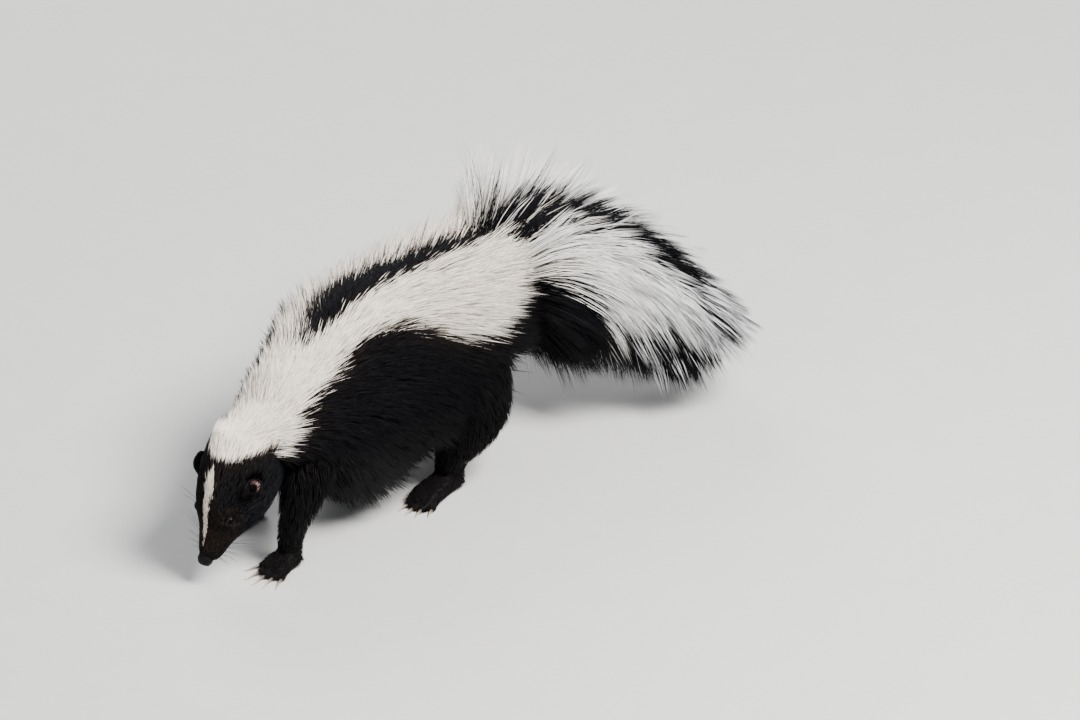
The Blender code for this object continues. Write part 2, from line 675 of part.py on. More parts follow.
def make_nose(material):
    """The bare nose pad with its two nostrils."""
    angles = np.linspace(0, 2 * np.pi, 16, endpoint=False)
    front = HEAD_SECTIONS[0][0] - GAP
    rings = []
    for share, size in ((1.0, 1.0), (0.75, 1.02), (0.45, 0.95), (0.15, 0.74), (0.0, 0.42)):
        left, up = section(angles, 0.0056 * size, 0.0050 * size, 0.0052 * size, 2.3, 1.9)
        behind = front * share - 0.0008 * (1 - share)
        rings.append([head_point(behind, a, b + NOSTRIL_RISE) for a, b in zip(left, up)])
    nose = loft("nose", rings, material)
    for side in (LEFT, RIGHT):
        place = head_point(0.0004, NOSTRIL_OUT * side, NOSTRIL_RISE)
        apply_boolean(nose, "DIFFERENCE", ball_at("nostril", place, NOSTRIL_RADIUS, NOSTRIL_STRETCH))
    return keep_largest_body(nose)


def make_ear(name, side, material):
    """A low rounded ear: a cup open to the front and side, its foot cut to fit the head."""
    forward, left, up = head_axes()
    out = left * -side
    stands = unit(out * 0.62 + up * 0.16 - forward * 0.76)
    opens = unit(forward * 0.50 + out * 0.80 - up * 0.34)
    opens = unit(opens - stands * (opens @ stands))
    across = np.cross(stands, opens)
    foot = head_point(EAR_BEHIND_NOSE, EAR_OUT * -side, EAR_RISE)
    turn = np.linspace(0, 2 * np.pi, 16, endpoint=False)
    rings = []
    for level, widen, inside in (
        (-0.10, 0.60, 0), (0.20, 0.76, 0), (0.50, 0.94, 0), (0.78, 1.0, 0), (1.0, 0.84, 0),
        (1.0, 0.84, 1), (0.78, 1.0, 1), (0.60, 0.84, 1), (0.50, 0.50, 1),
    ):
        half = EAR_WIDTH / 2 * widen - EAR_THICKNESS * inside * (0.8 if level > 0.9 else 1.0)
        behind = 0.5 + 0.5 * np.cos(turn - math.pi)
        height = EAR_HEIGHT * level * (0.62 + 0.38 * behind)
        ring = foot + np.outer(height, stands)
        ring += np.outer(np.sin(turn) * half, across) + np.outer(np.cos(turn) * half * 0.66, opens)
        ring -= np.outer(0.16 * (height / EAR_HEIGHT) ** 2 * EAR_HEIGHT, opens)
        rings.append(ring)
    ear = loft(name, rings, material)
    apply_boolean(ear, "DIFFERENCE", head_loft("head_cutter", grow=GAP))
    apply_boolean(ear, "DIFFERENCE", half_space("nape_cutter", TRUNK_STATIONS["nape"][:3], -forward))
    return keep_largest_body(ear)


def make_tail(material):
    """The tail's own body with its long hair, cut where it leaves the rump."""
    rows = TAIL(np.linspace(0, 1, 11))
    tail = loft("tail", tube_rings(rows[:, :3], rows[:, 3], 18), material)
    hair = grouped("tail_hair", tail_locks("tail", TAIL_ROWS, TAIL_LOCKS_A_ROW))
    apply_boolean(tail, "UNION", collection=hair, solver="MANIFOLD")
    rump = half_space("rump_cutter", (TAIL_JOIN_X + GAP, 0, 0), (-1, 0, 0))
    apply_boolean(tail, "DIFFERENCE", rump, solver="MANIFOLD")
    return keep_largest_body(tail)


def make_neck(material, legs):
    """The neck with the short locks of its nape, cut flat against the head and the shoulders."""
    neck = neck_core("neck", material=material)
    start, end = TRUNK_STATIONS["nape"][0] + 0.007, NECK_JOIN_X - 0.004
    locks = trunk_locks("neck", start, end, NECK_ROW, NECK_HALF_TURN, legs)
    apply_boolean(neck, "UNION", collection=grouped("neck_hair", locks), solver="MANIFOLD")
    shoulder = TRUNK(NECK_JOIN_X)
    tilt = math.radians(shoulder[6])
    joint = half_space("shoulder_cutter", shoulder[:3], (math.cos(tilt), 0, math.sin(tilt)))
    apply_boolean(neck, "DIFFERENCE", joint, solver="MANIFOLD")
    return keep_largest_body(neck)


def make_torso(material, legs):
    """The body from shoulders to rump, with its long coat, cut flat at neck and tail."""
    torso = torso_core("torso", material=material)
    start, end = NECK_JOIN_X + 0.004, TAIL_JOIN_X - 0.004
    locks = trunk_locks("torso", start, end, TORSO_ROW, TORSO_HALF_TURN, legs)
    apply_boolean(torso, "UNION", collection=grouped("torso_hair", locks), solver="MANIFOLD")
    tail_side = half_space("tail_cutter", (TAIL_JOIN_X, 0, 0), (1, 0, 0))
    apply_boolean(torso, "DIFFERENCE", tail_side, solver="MANIFOLD")
    return keep_largest_body(torso)


def stand_on_origin():
    """Moves every piece so that the origin is the middle of the model's floor print."""
    corners = np.array([o.matrix_world @ Vector(c) for o in bpy.data.objects for c in o.bound_box])
    low, high = corners.min(axis=0), corners.max(axis=0)
    shift = Matrix.Translation((-(low[0] + high[0]) / 2, -(low[1] + high[1]) / 2, 0.0))
    for piece in bpy.data.objects:
        piece.data.transform(shift)


def main():
    for old in list(bpy.data.objects):
        bpy.data.objects.remove(old)
    black = finish("black_fur", *BLACK_FUR)
    white = finish("white_fur", *WHITE_FUR)
    legs = [leg_path(foot) for foot in FEET.values()]
    make_head(black)
    make_nose(finish("nose_skin", *NOSE_SKIN))
    ear_skin = finish("ear_skin", *EAR_SKIN)
    gloss = finish("eye_gloss", *EYE_GLOSS)
    horn = finish("claw_horn", *CLAW_HORN)
    for side, word in ((LEFT, "left"), (RIGHT, "right")):
        make_ear(f"ear_{word}", side, ear_skin)
        ball_at(f"eye_{word}", eye_place(side)[0], EYE_RADIUS, material=gloss)
    make_neck(white, legs)
    make_torso(black, legs)
    make_tail(white)
    for word, foot in FEET.items():
        make_leg(f"leg_{word}", foot, black)
        make_paw(f"paw_{word}", foot, black)
        for index in range(5):
            make_claw(f"claw_{word}_{index + 1}", foot, index, horn)
    stand_on_origin()


main()
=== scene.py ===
import bpy
import numpy as np
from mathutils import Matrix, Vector, kdtree


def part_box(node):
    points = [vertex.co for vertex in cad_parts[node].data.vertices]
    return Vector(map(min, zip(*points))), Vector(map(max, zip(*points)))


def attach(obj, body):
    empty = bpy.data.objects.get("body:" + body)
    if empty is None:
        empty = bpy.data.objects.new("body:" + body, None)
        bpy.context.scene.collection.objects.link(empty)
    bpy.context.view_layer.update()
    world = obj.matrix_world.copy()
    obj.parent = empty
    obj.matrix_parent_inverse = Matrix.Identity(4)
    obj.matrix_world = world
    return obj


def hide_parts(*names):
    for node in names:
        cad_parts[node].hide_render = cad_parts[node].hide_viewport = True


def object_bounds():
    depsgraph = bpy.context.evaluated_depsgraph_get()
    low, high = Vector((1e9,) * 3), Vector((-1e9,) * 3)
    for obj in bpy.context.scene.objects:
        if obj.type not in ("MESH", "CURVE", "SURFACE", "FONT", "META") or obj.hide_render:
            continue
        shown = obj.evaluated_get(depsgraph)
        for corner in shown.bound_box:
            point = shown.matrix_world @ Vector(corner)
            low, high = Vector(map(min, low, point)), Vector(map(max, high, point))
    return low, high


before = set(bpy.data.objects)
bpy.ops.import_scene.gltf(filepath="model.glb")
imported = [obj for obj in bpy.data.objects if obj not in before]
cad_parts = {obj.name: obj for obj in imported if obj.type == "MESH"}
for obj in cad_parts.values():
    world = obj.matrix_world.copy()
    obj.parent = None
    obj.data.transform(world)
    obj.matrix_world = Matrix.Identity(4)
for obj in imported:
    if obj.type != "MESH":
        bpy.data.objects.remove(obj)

CAD_BOX = [list(corner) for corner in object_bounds()]

# Trunk
# The skunk's body under its coat, from the nape to the root of the tail. Its outer surface is the
# coat's, laid out by stations along the back, and the skin lies inside that by part of the coat.
LEFT, RIGHT = -1, 1
UP = np.array([0.0, 0.0, 1.0])
TO_LEFT = np.array([0.0, -1.0, 0.0])
SKIN_SHARE = 0.66
RIDGE_POWER, BELLY_POWER = 1.75, 2.15
# x, y, z of the widest level, half width, above, below, tilt, coat on the back, coat on the flank.
TRUNK_STATIONS = np.array([
    (-0.1322, -0.0195, 0.0878, 0.0295, 0.0310, 0.0275, 62.0, 0.010, 0.007),
    (-0.1130, -0.0170, 0.0880, 0.0345, 0.0275, 0.0400, 44.0, 0.012, 0.009),
    (-0.0880, -0.0135, 0.0850, 0.0450, 0.0420, 0.0540, 26.0, 0.017, 0.011),
    (-0.0550, -0.0095, 0.0780, 0.0545, 0.0630, 0.0590, 14.0, 0.023, 0.013),
    (-0.0180, -0.0030, 0.0700, 0.0610, 0.0940, 0.0400, 5.0, 0.030, 0.014),
    (0.0250, 0.0000, 0.0690, 0.0640, 0.0980, 0.0320, -2.0, 0.034, 0.015),
    (0.0650, 0.0000, 0.0760, 0.0600, 0.0880, 0.0380, -6.0, 0.034, 0.017),
    (0.0960, 0.0000, 0.0930, 0.0450, 0.0660, 0.0420, -12.0, 0.032, 0.018),
    (0.1200, -0.0010, 0.1080, 0.0340, 0.0460, 0.0340, -16.0, 0.030, 0.020),
])
NAPE, TAIL_BASE = TRUNK_STATIONS[0, 0], TRUNK_STATIONS[-1, 0]


def unit(vector):
    """The vectors at length 1."""
    return vector / np.maximum(np.linalg.norm(vector, axis=-1, keepdims=True), 1e-9)


def spline(knots, values):
    """A natural cubic through rows of values at the knots, as a function of the knots' parameter."""
    knots, values = np.asarray(knots, float), np.asarray(values, float)
    count, step = len(knots), np.diff(knots)
    system, right = np.eye(count), np.zeros_like(values)
    for i in range(1, count - 1):
        system[i, i - 1:i + 2] = step[i - 1], 2 * (step[i - 1] + step[i]), step[i]
        right[i] = 6 * ((values[i + 1] - values[i]) / step[i] - (values[i] - values[i - 1]) / step[i - 1])
    bend = np.linalg.solve(system, right)

    def at(t):
        t = np.clip(np.asarray(t, float), knots[0], knots[-1])
        i = np.clip(np.searchsorted(knots, t, side="right") - 1, 0, count - 2)
        h, a, b = step[i], knots[i + 1] - t, t - knots[i]
        if values.ndim > 1:
            h, a, b = h[..., None], a[..., None], b[..., None]
        curve = (bend[i] * a**3 + bend[i + 1] * b**3) / (6 * h)
        return curve + (values[i] / h - bend[i] * h / 6) * a + (values[i + 1] / h - bend[i + 1] * h / 6) * b

    return at


def smooth(low, high, value):
    """0 below low, 1 above high, and 3t^2 - 2t^3 between."""
    t = np.clip((value - low) / (high - low), 0, 1)
    return t * t * (3 - 2 * t)


def section(angles, width, above, below, top_power=RIDGE_POWER, bottom_power=BELLY_POWER):
    """Offsets left and up of a closed section: width |sin a|^(2/p) and height |cos a|^(2/p)."""
    s, c = np.sin(angles), np.cos(angles)
    power = np.where(c > 0, top_power, bottom_power)
    height = np.where(c > 0, above, below)
    return width * np.sign(s) * np.abs(s) ** (2 / power), height * np.sign(c) * np.abs(c) ** (2 / power)


TRUNK = spline(TRUNK_STATIONS[:, 0], TRUNK_STATIONS)


def trunk_coat(station, angle):
    """The coat's depth: the flank's all round, growing to the back's towards angle 0."""
    on_back = np.clip(np.cos(angle) + 0.1, 0, 1) ** 1.5
    at = TRUNK(station)
    return at[..., 8] + (at[..., 7] - at[..., 8]) * on_back


def trunk_surface(station, angle, share):
    """The trunk's section at a station, turned by its tilt, and pulled in along the section's own
    normal by a share of the coat's depth."""
    at = TRUNK(station)
    tilt = np.radians(at[..., 6:7])
    rise = np.concatenate([-np.sin(tilt), 0 * tilt, np.cos(tilt)], axis=-1)
    wide, above, below = at[..., 3], at[..., 4], at[..., 5]
    left, up = section(angle, wide, above, below)
    height = np.where(up > 0, above, below)
    out = unit((left / wide**2)[..., None] * TO_LEFT + (up / height**2)[..., None] * rise)
    inward = (share * trunk_coat(station, angle))[..., None]
    return at[..., :3] + left[..., None] * TO_LEFT + up[..., None] * rise - inward * out


# Markings on the trunk: two white stripes that meet on the nape, with a black strip between them
# on the back. Angles from the back's ridge, at each station.
STRIPE_EDGE = spline(
    [-0.132, -0.120, -0.106, -0.085, -0.060, -0.030, -0.004, 0.021, 0.042, 0.064, 0.090, 0.120],
    np.radians([68, 55, 39, 31, 28, 34, 44, 54, 57, 55, 46, 42]))
STRIP_START = -0.066
RIGHT_WIDER = np.radians(14)
STRIP_SHIFT = np.radians(-13)
STRIP_EDGE = spline([STRIP_START, -0.048, -0.010, 0.050, 0.120], np.radians([0.0, 16.0, 23.0, 20.0, 23.0]))


def trunk_white(station, angle):
    """How far inside the white a place is, in metres round the section, negative in the black."""
    around = TRUNK(station)[..., 3:5].mean(axis=-1)
    turn = np.abs(angle)
    below = STRIPE_EDGE(station) + np.where(angle < 0, RIGHT_WIDER, 0.0) - turn
    above = np.abs(angle - STRIP_SHIFT) - STRIP_EDGE(station)
    above = np.where(station > STRIP_START, above, STRIP_START + 1.0 - station)
    return np.minimum(below, above) * around


BACK_LIFT, FLANK_LIFT, RUMP_LIFT, BRUSH_LIFT = np.radians([42.0, 16.0, 40.0, 20.0])
SHORTEST_HAIR, LONGEST_HAIR, RUMP_HAIR, BRUSH_HAIR = 0.008, 0.044, 0.060, 0.011
STRIP_SHORTER, BESIDE_LONGER, BELLY_LONGER = 0.45, 0.08, 0.45
FACE_EDGE, SHARP_EDGE, SOFT_EDGE = 0.0007, 0.0018, 0.0060


def trunk_hair(station, angle):
    """Length, lift, droop and softness of edge of the hair. Its length brings the tips to the coat's
    surface. It is shorter and flatter in the black strip, longer beside it, shaggy on the belly, grows
    towards the tail's over the rump, and stands up as a brush on the right of the strip."""
    turn = np.abs(angle)
    on_back = np.clip(np.cos(angle), 0, 1) ** 1.5 * smooth(-0.12, -0.05, station)
    lift = FLANK_LIFT + (BACK_LIFT - FLANK_LIFT) * on_back
    length = np.clip(SKIN_SHARE * trunk_coat(station, angle) / np.sin(lift), SHORTEST_HAIR, LONGEST_HAIR)
    started = smooth(STRIP_START, STRIP_START + 0.03, station)
    off_strip = np.abs(angle - STRIP_SHIFT) - STRIP_EDGE(station)
    in_strip = smooth(0.12, -0.02, off_strip) * started
    beside = np.exp(-((off_strip - 0.50) / 0.24) ** 2) * started
    belly = smooth(np.radians(95), np.radians(140), turn)
    length = length * (1 - STRIP_SHORTER * in_strip + BESIDE_LONGER * beside + BELLY_LONGER * belly)
    lift = lift * (1 - 0.25 * in_strip + 0.10 * beside + 0.25 * belly)
    rump = smooth(0.072, 0.118, station) * smooth(-0.1, 0.6, np.cos(angle)) * (1 - 0.5 * in_strip)
    length = length + (RUMP_HAIR - length) * rump
    lift = lift + (RUMP_LIFT - lift) * rump
    brush = smooth(-0.25, -0.6, angle) * smooth(-1.6, -1.2, angle)
    brush = brush * (0.75 * smooth(-0.10, -0.05, station) + 0.25 * smooth(0.05, 0.10, station))
    length, lift = length + BRUSH_HAIR * brush, lift + BRUSH_LIFT * brush
    soft = SHARP_EDGE + (SOFT_EDGE - SHARP_EDGE) * smooth(0.30, 0.10, off_strip)
    return dict(length=length, lift=lift, droop=0.12 + 0.30 * belly, soft=soft)


# Head
# A long narrow wedge held low, with a bare nose, small eyes and the line of the mouth.
NOSE_TIP = np.array([-0.1742, -0.0195, 0.0150])
PITCH = np.radians(62.0)
FORWARD = np.array([-np.cos(PITCH), 0.0, -np.sin(PITCH)])
CROWN = np.array([-np.sin(PITCH), 0.0, np.cos(PITCH)])
HEAD_LENGTH = 0.084
# Behind the nose tip, half width, above, below and rise of the middle, from the lips to the nape.
HEAD_SECTIONS = np.array([
    (0.0053, 0.0062, 0.0060, 0.0070, 0.0000),
    (0.0120, 0.0090, 0.0084, 0.0096, 0.0000),
    (0.0220, 0.0126, 0.0124, 0.0134, -0.0004),
    (0.0340, 0.0188, 0.0190, 0.0186, -0.0015),
    (0.0460, 0.0246, 0.0246, 0.0228, -0.0024),
    (0.0600, 0.0282, 0.0290, 0.0256, -0.0030),
    (0.0740, 0.0292, 0.0308, 0.0268, -0.0030),
    (0.0840, 0.0295, 0.0310, 0.0275, -0.0030),
])
HEAD = spline(HEAD_SECTIONS[:, 0], HEAD_SECTIONS)
HEAD_COAT = spline([0.005, 0.020, 0.040, 0.060, 0.084], [0.0005, 0.0007, 0.0012, 0.0022, 0.0050])
EYE_AT, EAR_AT = (0.0357, 0.0142, 0.0080), (0.0550, 0.0200, 0.0080)


def head_point(behind, out, rise):
    """A point by its distance behind the nose tip, to the left and up in the head's own axes."""
    behind, out, rise = (np.asarray(v, float)[..., None] for v in (behind, out, rise))
    return NOSE_TIP - FORWARD * behind + TO_LEFT * out + CROWN * rise


def ear_axes(side):
    """The foot of an ear, the way it stands, the way it opens and the way across."""
    out = -side * TO_LEFT
    stands = unit(out * 0.62 + CROWN * 0.16 - FORWARD * 0.76)
    opens = unit(FORWARD * 0.45 + out * 0.82 + CROWN * 0.05)
    opens = unit(opens - stands * (opens @ stands))
    return head_point(EAR_AT[0], -side * EAR_AT[1], EAR_AT[2]), stands, opens, np.cross(stands, opens)


# Hollows and swells of the face: behind the nose, angle, their reach in both, and height.
FACE_FORMS = (
    (0.0357, 54.0, 0.0080, 22.0, 0.0011),
    (0.0400, 27.0, 0.0090, 13.0, 0.0007),
    (0.0480, 98.0, 0.0100, 28.0, 0.0009),
    (0.0150, 88.0, 0.0060, 26.0, 0.0006),
    (0.0240, 30.0, 0.0060, 20.0, -0.0006),
)


def head_surface(behind, angle, inward):
    """The head's section at a distance behind the nose, drawn in by the coat's depth, and by the
    face's hollows and swells, each a Gaussian in distance and angle."""
    _, wide, above, below, rise = np.moveaxis(HEAD(behind), -1, 0)
    for at, turn, reach, spread, height in FACE_FORMS:
        off = (np.abs(angle) - np.radians(turn)) / np.radians(spread)
        inward = inward - height * np.exp(-((behind - at) / reach) ** 2 - off**2)
    left, up = section(angle, wide - inward, above - inward, below - inward)
    return head_point(behind, left, rise + up)


SHIFT = np.mean([list(c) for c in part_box("eye_left")], axis=0) - head_point(*EYE_AT)
CAP_EDGE = spline(
    np.radians([0, 14, 24, 38, 52, 66, 76, 100]),
    [0.0664, 0.0670, 0.0685, 0.0722, 0.0763, 0.0812, 0.0845, 0.1100])
BLAZE_HALF = spline([0.0100, 0.0180, 0.0300, 0.0450, 0.0550, 0.0610, 0.0640],
                    [-0.0006, 0.0012, 0.0024, 0.0042, 0.0040, 0.0016, -0.0010])


def head_white(behind, angle):
    """How far inside the white a place is: the cap on the nape, or the blaze down the face."""
    turn = np.abs(angle)
    cap = behind - CAP_EDGE(turn)
    blaze = BLAZE_HALF(behind) - turn * HEAD(behind)[..., 1]
    blaze = np.where((behind < 0.0100) | (behind > 0.0640), -np.abs(blaze) - 0.001, blaze)
    return np.maximum(cap, blaze)


# Tail, legs and paws under the coat
# The tail is a tapering stem. Each leg runs from inside the trunk to the ankle, and each paw is a
# palm with five toes side by side, flat on the floor.
TAIL_STATIONS = np.array([
    (0.1110, 0.0000, 0.1070, 0.0330),
    (0.1350, -0.0050, 0.1150, 0.0280),
    (0.1630, -0.0170, 0.1130, 0.0240),
    (0.1890, -0.0340, 0.1010, 0.0210),
    (0.2080, -0.0510, 0.0850, 0.0170),
    (0.2200, -0.0640, 0.0720, 0.0085),
])
TAIL_SKIN = 0.72
TAIL = spline(np.linspace(0, 1, len(TAIL_STATIONS)), TAIL_STATIONS)
LEG_COAT, PAW_COAT, THINNEST_LEG = 0.0022, 0.0005, 0.004
BACKWARD = np.array([1.0, 0.0, 0.0])
FORE_PAW = dict(length=0.026, width=0.021, height=0.0130, toe=0.0095, claw=0.0115, spread=24.0)
HIND_PAW = dict(length=0.046, width=0.022, height=0.0140, toe=0.0100, claw=0.0070, spread=20.0)
ANKLE_HEIGHT = 0.018
# Side, paw, middle on the floor, how far forward the ankle is, and the turn outward.
FEET = {
    "fore_left": (LEFT, FORE_PAW, np.array([-0.1220, -0.0410, 0.0]), 0.26, np.radians(4.0)),
    "fore_right": (RIGHT, FORE_PAW, np.array([-0.0960, 0.0220, 0.0]), 0.26, np.radians(8.0)),
    "hind_left": (LEFT, HIND_PAW, np.array([0.0180, -0.0450, 0.0]), 0.24, np.radians(8.0)),
    "hind_right": (RIGHT, HIND_PAW, np.array([0.0720, 0.0400, 0.0]), 0.24, np.radians(10.0)),
}
# Offsets from the ankle (forward, outward, up) and radius, from the ankle to inside the trunk.
FORE_LEG = ((0.000, 0.000, 0.000, 0.0074), (-0.001, 0.002, 0.013, 0.0092),
            (-0.008, 0.003, 0.034, 0.0145), (-0.026, -0.008, 0.062, 0.0220))
HIND_LEG = ((0.000, 0.000, 0.000, 0.0092), (-0.004, 0.002, 0.012, 0.0140),
            (-0.016, -0.001, 0.032, 0.0270), (-0.026, -0.018, 0.062, 0.0330))


def tail_frame(share):
    """The tail's middle, radius, direction, left and up at shares of its length."""
    here = TAIL(share)
    along = unit((TAIL(np.minimum(share + 0.01, 1)) - TAIL(np.maximum(share - 0.01, 0)))[..., :3])
    left = unit(np.cross(along, UP))
    return here[..., :3], here[..., 3], along, left, np.cross(left, along)


def foot_axes(foot):
    """A paw's forward and outward directions on the floor."""
    side, *_, toe_out = foot
    turn = toe_out * side
    return np.array([-np.cos(turn), np.sin(turn), 0.0]), np.array([np.sin(turn), np.cos(turn), 0.0]) * side


def tube(path, radius, first, second, around):
    """Rings round a path: radius (cos a first + sin a second) for each angle a around."""
    turn = around[:, None]
    ring = np.cos(turn) * first[:, None] + np.sin(turn) * second[:, None]
    return path[:, None] + radius[:, None, None] * ring


def leg_rings(foot, around):
    """Round rings across a smooth curve from just below the ankle to inside the trunk."""
    side, paw, middle, ankle_share, _ = foot
    rows = np.array(FORE_LEG if paw is FORE_PAW else HIND_LEG)
    ankle = middle - foot_axes(foot)[0] * ((0.5 - ankle_share) * paw["length"]) + UP * ANKLE_HEIGHT
    rows[:, :3] = ankle + rows[:, :3] * [-1, side, 1]
    fine = spline(np.linspace(0, 1, len(rows)), rows)(np.linspace(0, 1, 40))
    low = np.concatenate([ankle - UP * (ANKLE_HEIGHT - 0.006), [fine[0, 3] * 0.92]])
    fine = np.vstack([low, fine])
    path, furred = fine[:, :3], smooth(0, 0.03, fine[:, 2] - ANKLE_HEIGHT)
    radius = np.maximum(fine[:, 3] - LEG_COAT * furred, THINNEST_LEG)
    along = unit(np.gradient(path, axis=0))
    across = unit(np.cross(along, BACKWARD))
    return tube(path, radius, across, np.cross(across, along), around), 0.25 * BACKWARD - along[:, None]


def flat_rings(middles, outward, half_width, height, around):
    """Rings across a foot, round above, and flat below where they would pass through the floor."""
    side = half_width[:, None] * np.sin(around)
    up = np.clip(height[:, None] * (0.5 + 0.62 * np.cos(around)), PAW_COAT, height[:, None])
    return middles[:, None] + side[..., None] * outward + up[..., None] * UP


TOE_FROM, INNER_TOE_BACK, TOES_APART, TOE_HALF = 0.44, 0.16, 0.39, 0.118


def toe_line(foot, index):
    """A toe's start, direction, length and half width. Toe 0 is the inner one, set back."""
    (_, paw, middle, _, _), (forward, outward) = foot, foot_axes(foot)
    place = (index - 2) / 2
    turn = np.radians(paw["spread"]) * place
    direction = forward * np.cos(turn) + outward * np.sin(turn)
    reach = paw["length"] * (TOE_FROM - 0.10 * place**2 - (INNER_TOE_BACK if index == 0 else 0.0))
    start = middle + forward * reach + outward * paw["width"] * TOES_APART * place
    return start, direction, paw["toe"] * (1.0 - 0.12 * abs(place)), paw["width"] * TOE_HALF


# Skin
# One closed skin over the whole animal, with no seam between its parts. Each form gives its own
# surface and what grows on it, the forms are fused, and the fused skin takes over what they say.
FIELDS = ("length", "lift", "droop", "white", "soft", "region")
REGIONS = {"back": 0, "flank": 1, "head": 2, "leg": 3, "paw": 4, "tail": 5}
BACK_HALF = np.radians(78)
SKIN_GRAIN = 0.0014
PLAIN_BLACK = -0.01
forms, sources, charts = [], [], []


def turns(count):
    """So many equal turns of a full circle."""
    return np.linspace(0, 2 * np.pi, count, endpoint=False)


around = turns(120)
signed = (around + np.pi) % (2 * np.pi) - np.pi


def add_form(rings, region, flow, chart, **hair):
    """Keeps a form's rings, the hair that each of its places grows, and its place on the unwrap."""
    shape = rings.shape[:2]
    hair = dict(droop=0.12, white=PLAIN_BLACK, soft=SHARP_EDGE) | hair | dict(region=region)
    spread = [np.broadcast_to(hair[key], shape).ravel() for key in FIELDS]
    flow = unit(np.broadcast_to(flow, rings.shape)).reshape(-1, 3)
    forms.append(rings)
    sources.append(np.column_stack([rings.reshape(-1, 3), flow, *spread]))
    u, v = np.meshgrid(np.linspace(0, 1, shape[1]), np.linspace(0, 1, shape[0]))
    left, low, wide, high = chart
    charts.append(np.column_stack([(left + wide * u).ravel(), (low + high * v).ravel()]))


station = np.linspace(NAPE, TAIL_BASE, 170)[:, None] + 0 * signed
turn = signed + 0 * station
rings = trunk_surface(station, turn, SKIN_SHARE)
back = unit(trunk_surface(station + 0.002, turn, SKIN_SHARE) - rings + 1e-6)
back[-1] = back[-2]
falling = back - UP * (0.25 + 0.55 * np.abs(np.sin(turn)))[..., None]
region = np.where(np.abs(turn) < BACK_HALF, REGIONS["back"], REGIONS["flank"])
add_form(rings, region, falling, (0.01, 0.01, 0.60, 0.98),
         white=trunk_white(station, turn), **trunk_hair(station, turn))

behind = np.linspace(HEAD_SECTIONS[0, 0], HEAD_LENGTH, 110)[:, None] + 0 * signed
turn = signed + 0 * behind
rings = head_surface(behind, turn, HEAD_COAT(behind))
FACE_HAIR = spline([0.005, 0.020, 0.040, 0.060, 0.084], [0.0018, 0.0030, 0.0052, 0.0085, 0.0150])
add_form(rings, REGIONS["head"], -FORWARD, (0.63, 0.60, 0.36, 0.39),
         length=FACE_HAIR(behind), lift=np.radians(15), white=head_white(behind, turn), soft=FACE_EDGE)

share = np.linspace(0, 1, 60)
middle, radius, along, left, up = tail_frame(share)
add_form(tube(middle, TAIL_SKIN * radius, up, left, signed), REGIONS["tail"], along[:, None],
         (0.63, 0.40, 0.36, 0.18), length=0.03, lift=np.radians(30))

# Along, half width and height as shares of the paw's or the toe's own, from back to front.
PALM_OUTLINE = np.array([
    (-0.5, 0.34, 0.52), (-0.38, 0.72, 0.92), (-0.1, 0.86, 1.0), (0.25, 1.0, 0.78), (0.5, 0.86, 0.52)])
TOE_OUTLINE = np.array([
    (-0.5, 0.9, 1.0), (0.2, 0.92, 1.06), (0.6, 1.02, 1.12), (0.85, 0.9, 0.95), (1.0, 0.62, 0.68)])
TOE_HEIGHT = 1.75
for number, foot in enumerate(FEET.values()):
    corner = 0.63 + 0.09 * number
    rings, down = leg_rings(foot, around[::2])
    length = 0.006 + 0.009 * smooth(0.02, 0.07, rings[..., 2])
    add_form(rings, REGIONS["leg"], down, (corner, 0.20, 0.085, 0.18),
             length=length, lift=np.radians(22), droop=0.2)
    (_, paw, middle, _, _), (forward, outward) = foot, foot_axes(foot)
    fine = spline(PALM_OUTLINE[:, 0], PALM_OUTLINE)(np.linspace(-0.5, 0.5, 24))
    middles = middle + forward * paw["length"] * fine[:, :1]
    half, height = paw["width"] / 2 * fine[:, 1] - PAW_COAT, paw["height"] * fine[:, 2] - PAW_COAT
    rings = flat_rings(middles, outward, half, height, around[::3])
    add_form(rings, REGIONS["paw"], forward, (corner, 0.01, 0.04, 0.18), length=0.0042, lift=np.radians(14))
    for index in range(5):
        start, direction, reach, half = toe_line(foot, index)
        fine = spline(TOE_OUTLINE[:, 0], TOE_OUTLINE)(np.linspace(-0.5, 1.0, 20))
        across, middles = np.cross(UP, direction), start + direction * reach * fine[:, :1]
        height = half * TOE_HEIGHT * fine[:, 2] - PAW_COAT
        rings = flat_rings(middles, across, half * fine[:, 1], height, around[::6])
        chart = (corner + 0.04, 0.01 + 0.035 * index, 0.04, 0.03)
        add_form(rings, REGIONS["paw"], direction, chart, length=0.0030, lift=np.radians(12))


def mesh_object(name, points, faces, fields=None):
    """A smooth-shaded mesh object of points and lists of equal-sided faces, with one value a point
    for each field."""
    mesh = bpy.data.meshes.new(name)
    corners = np.concatenate([f.ravel() for f in faces])
    sizes = np.concatenate([np.full(len(f), f.shape[1]) for f in faces])
    mesh.vertices.add(len(points))
    mesh.vertices.foreach_set("co", np.asarray(points, np.float32).ravel())
    mesh.loops.add(len(corners))
    mesh.loops.foreach_set("vertex_index", corners.astype(np.int32))
    mesh.polygons.add(len(sizes))
    mesh.polygons.foreach_set("loop_start", (np.cumsum(sizes) - sizes).astype(np.int32))
    mesh.update(calc_edges=True)
    mesh.shade_smooth()
    for field, values in (fields or {}).items():
        layer = mesh.attributes.new(field, "FLOAT", "POINT")
        layer.data.foreach_set("value", np.asarray(values, np.float32))
    made = bpy.data.objects.new(name, mesh)
    bpy.context.scene.collection.objects.link(made)
    return made


def bands(rings, later, sides):
    """Quads between rings and later ones, both given by the number of each ring's first point."""
    side = np.arange(sides)
    after = (side + 1) % sides
    return np.stack([rings + side, rings + after, later + after, later + side], axis=-1).reshape(-1, 4)


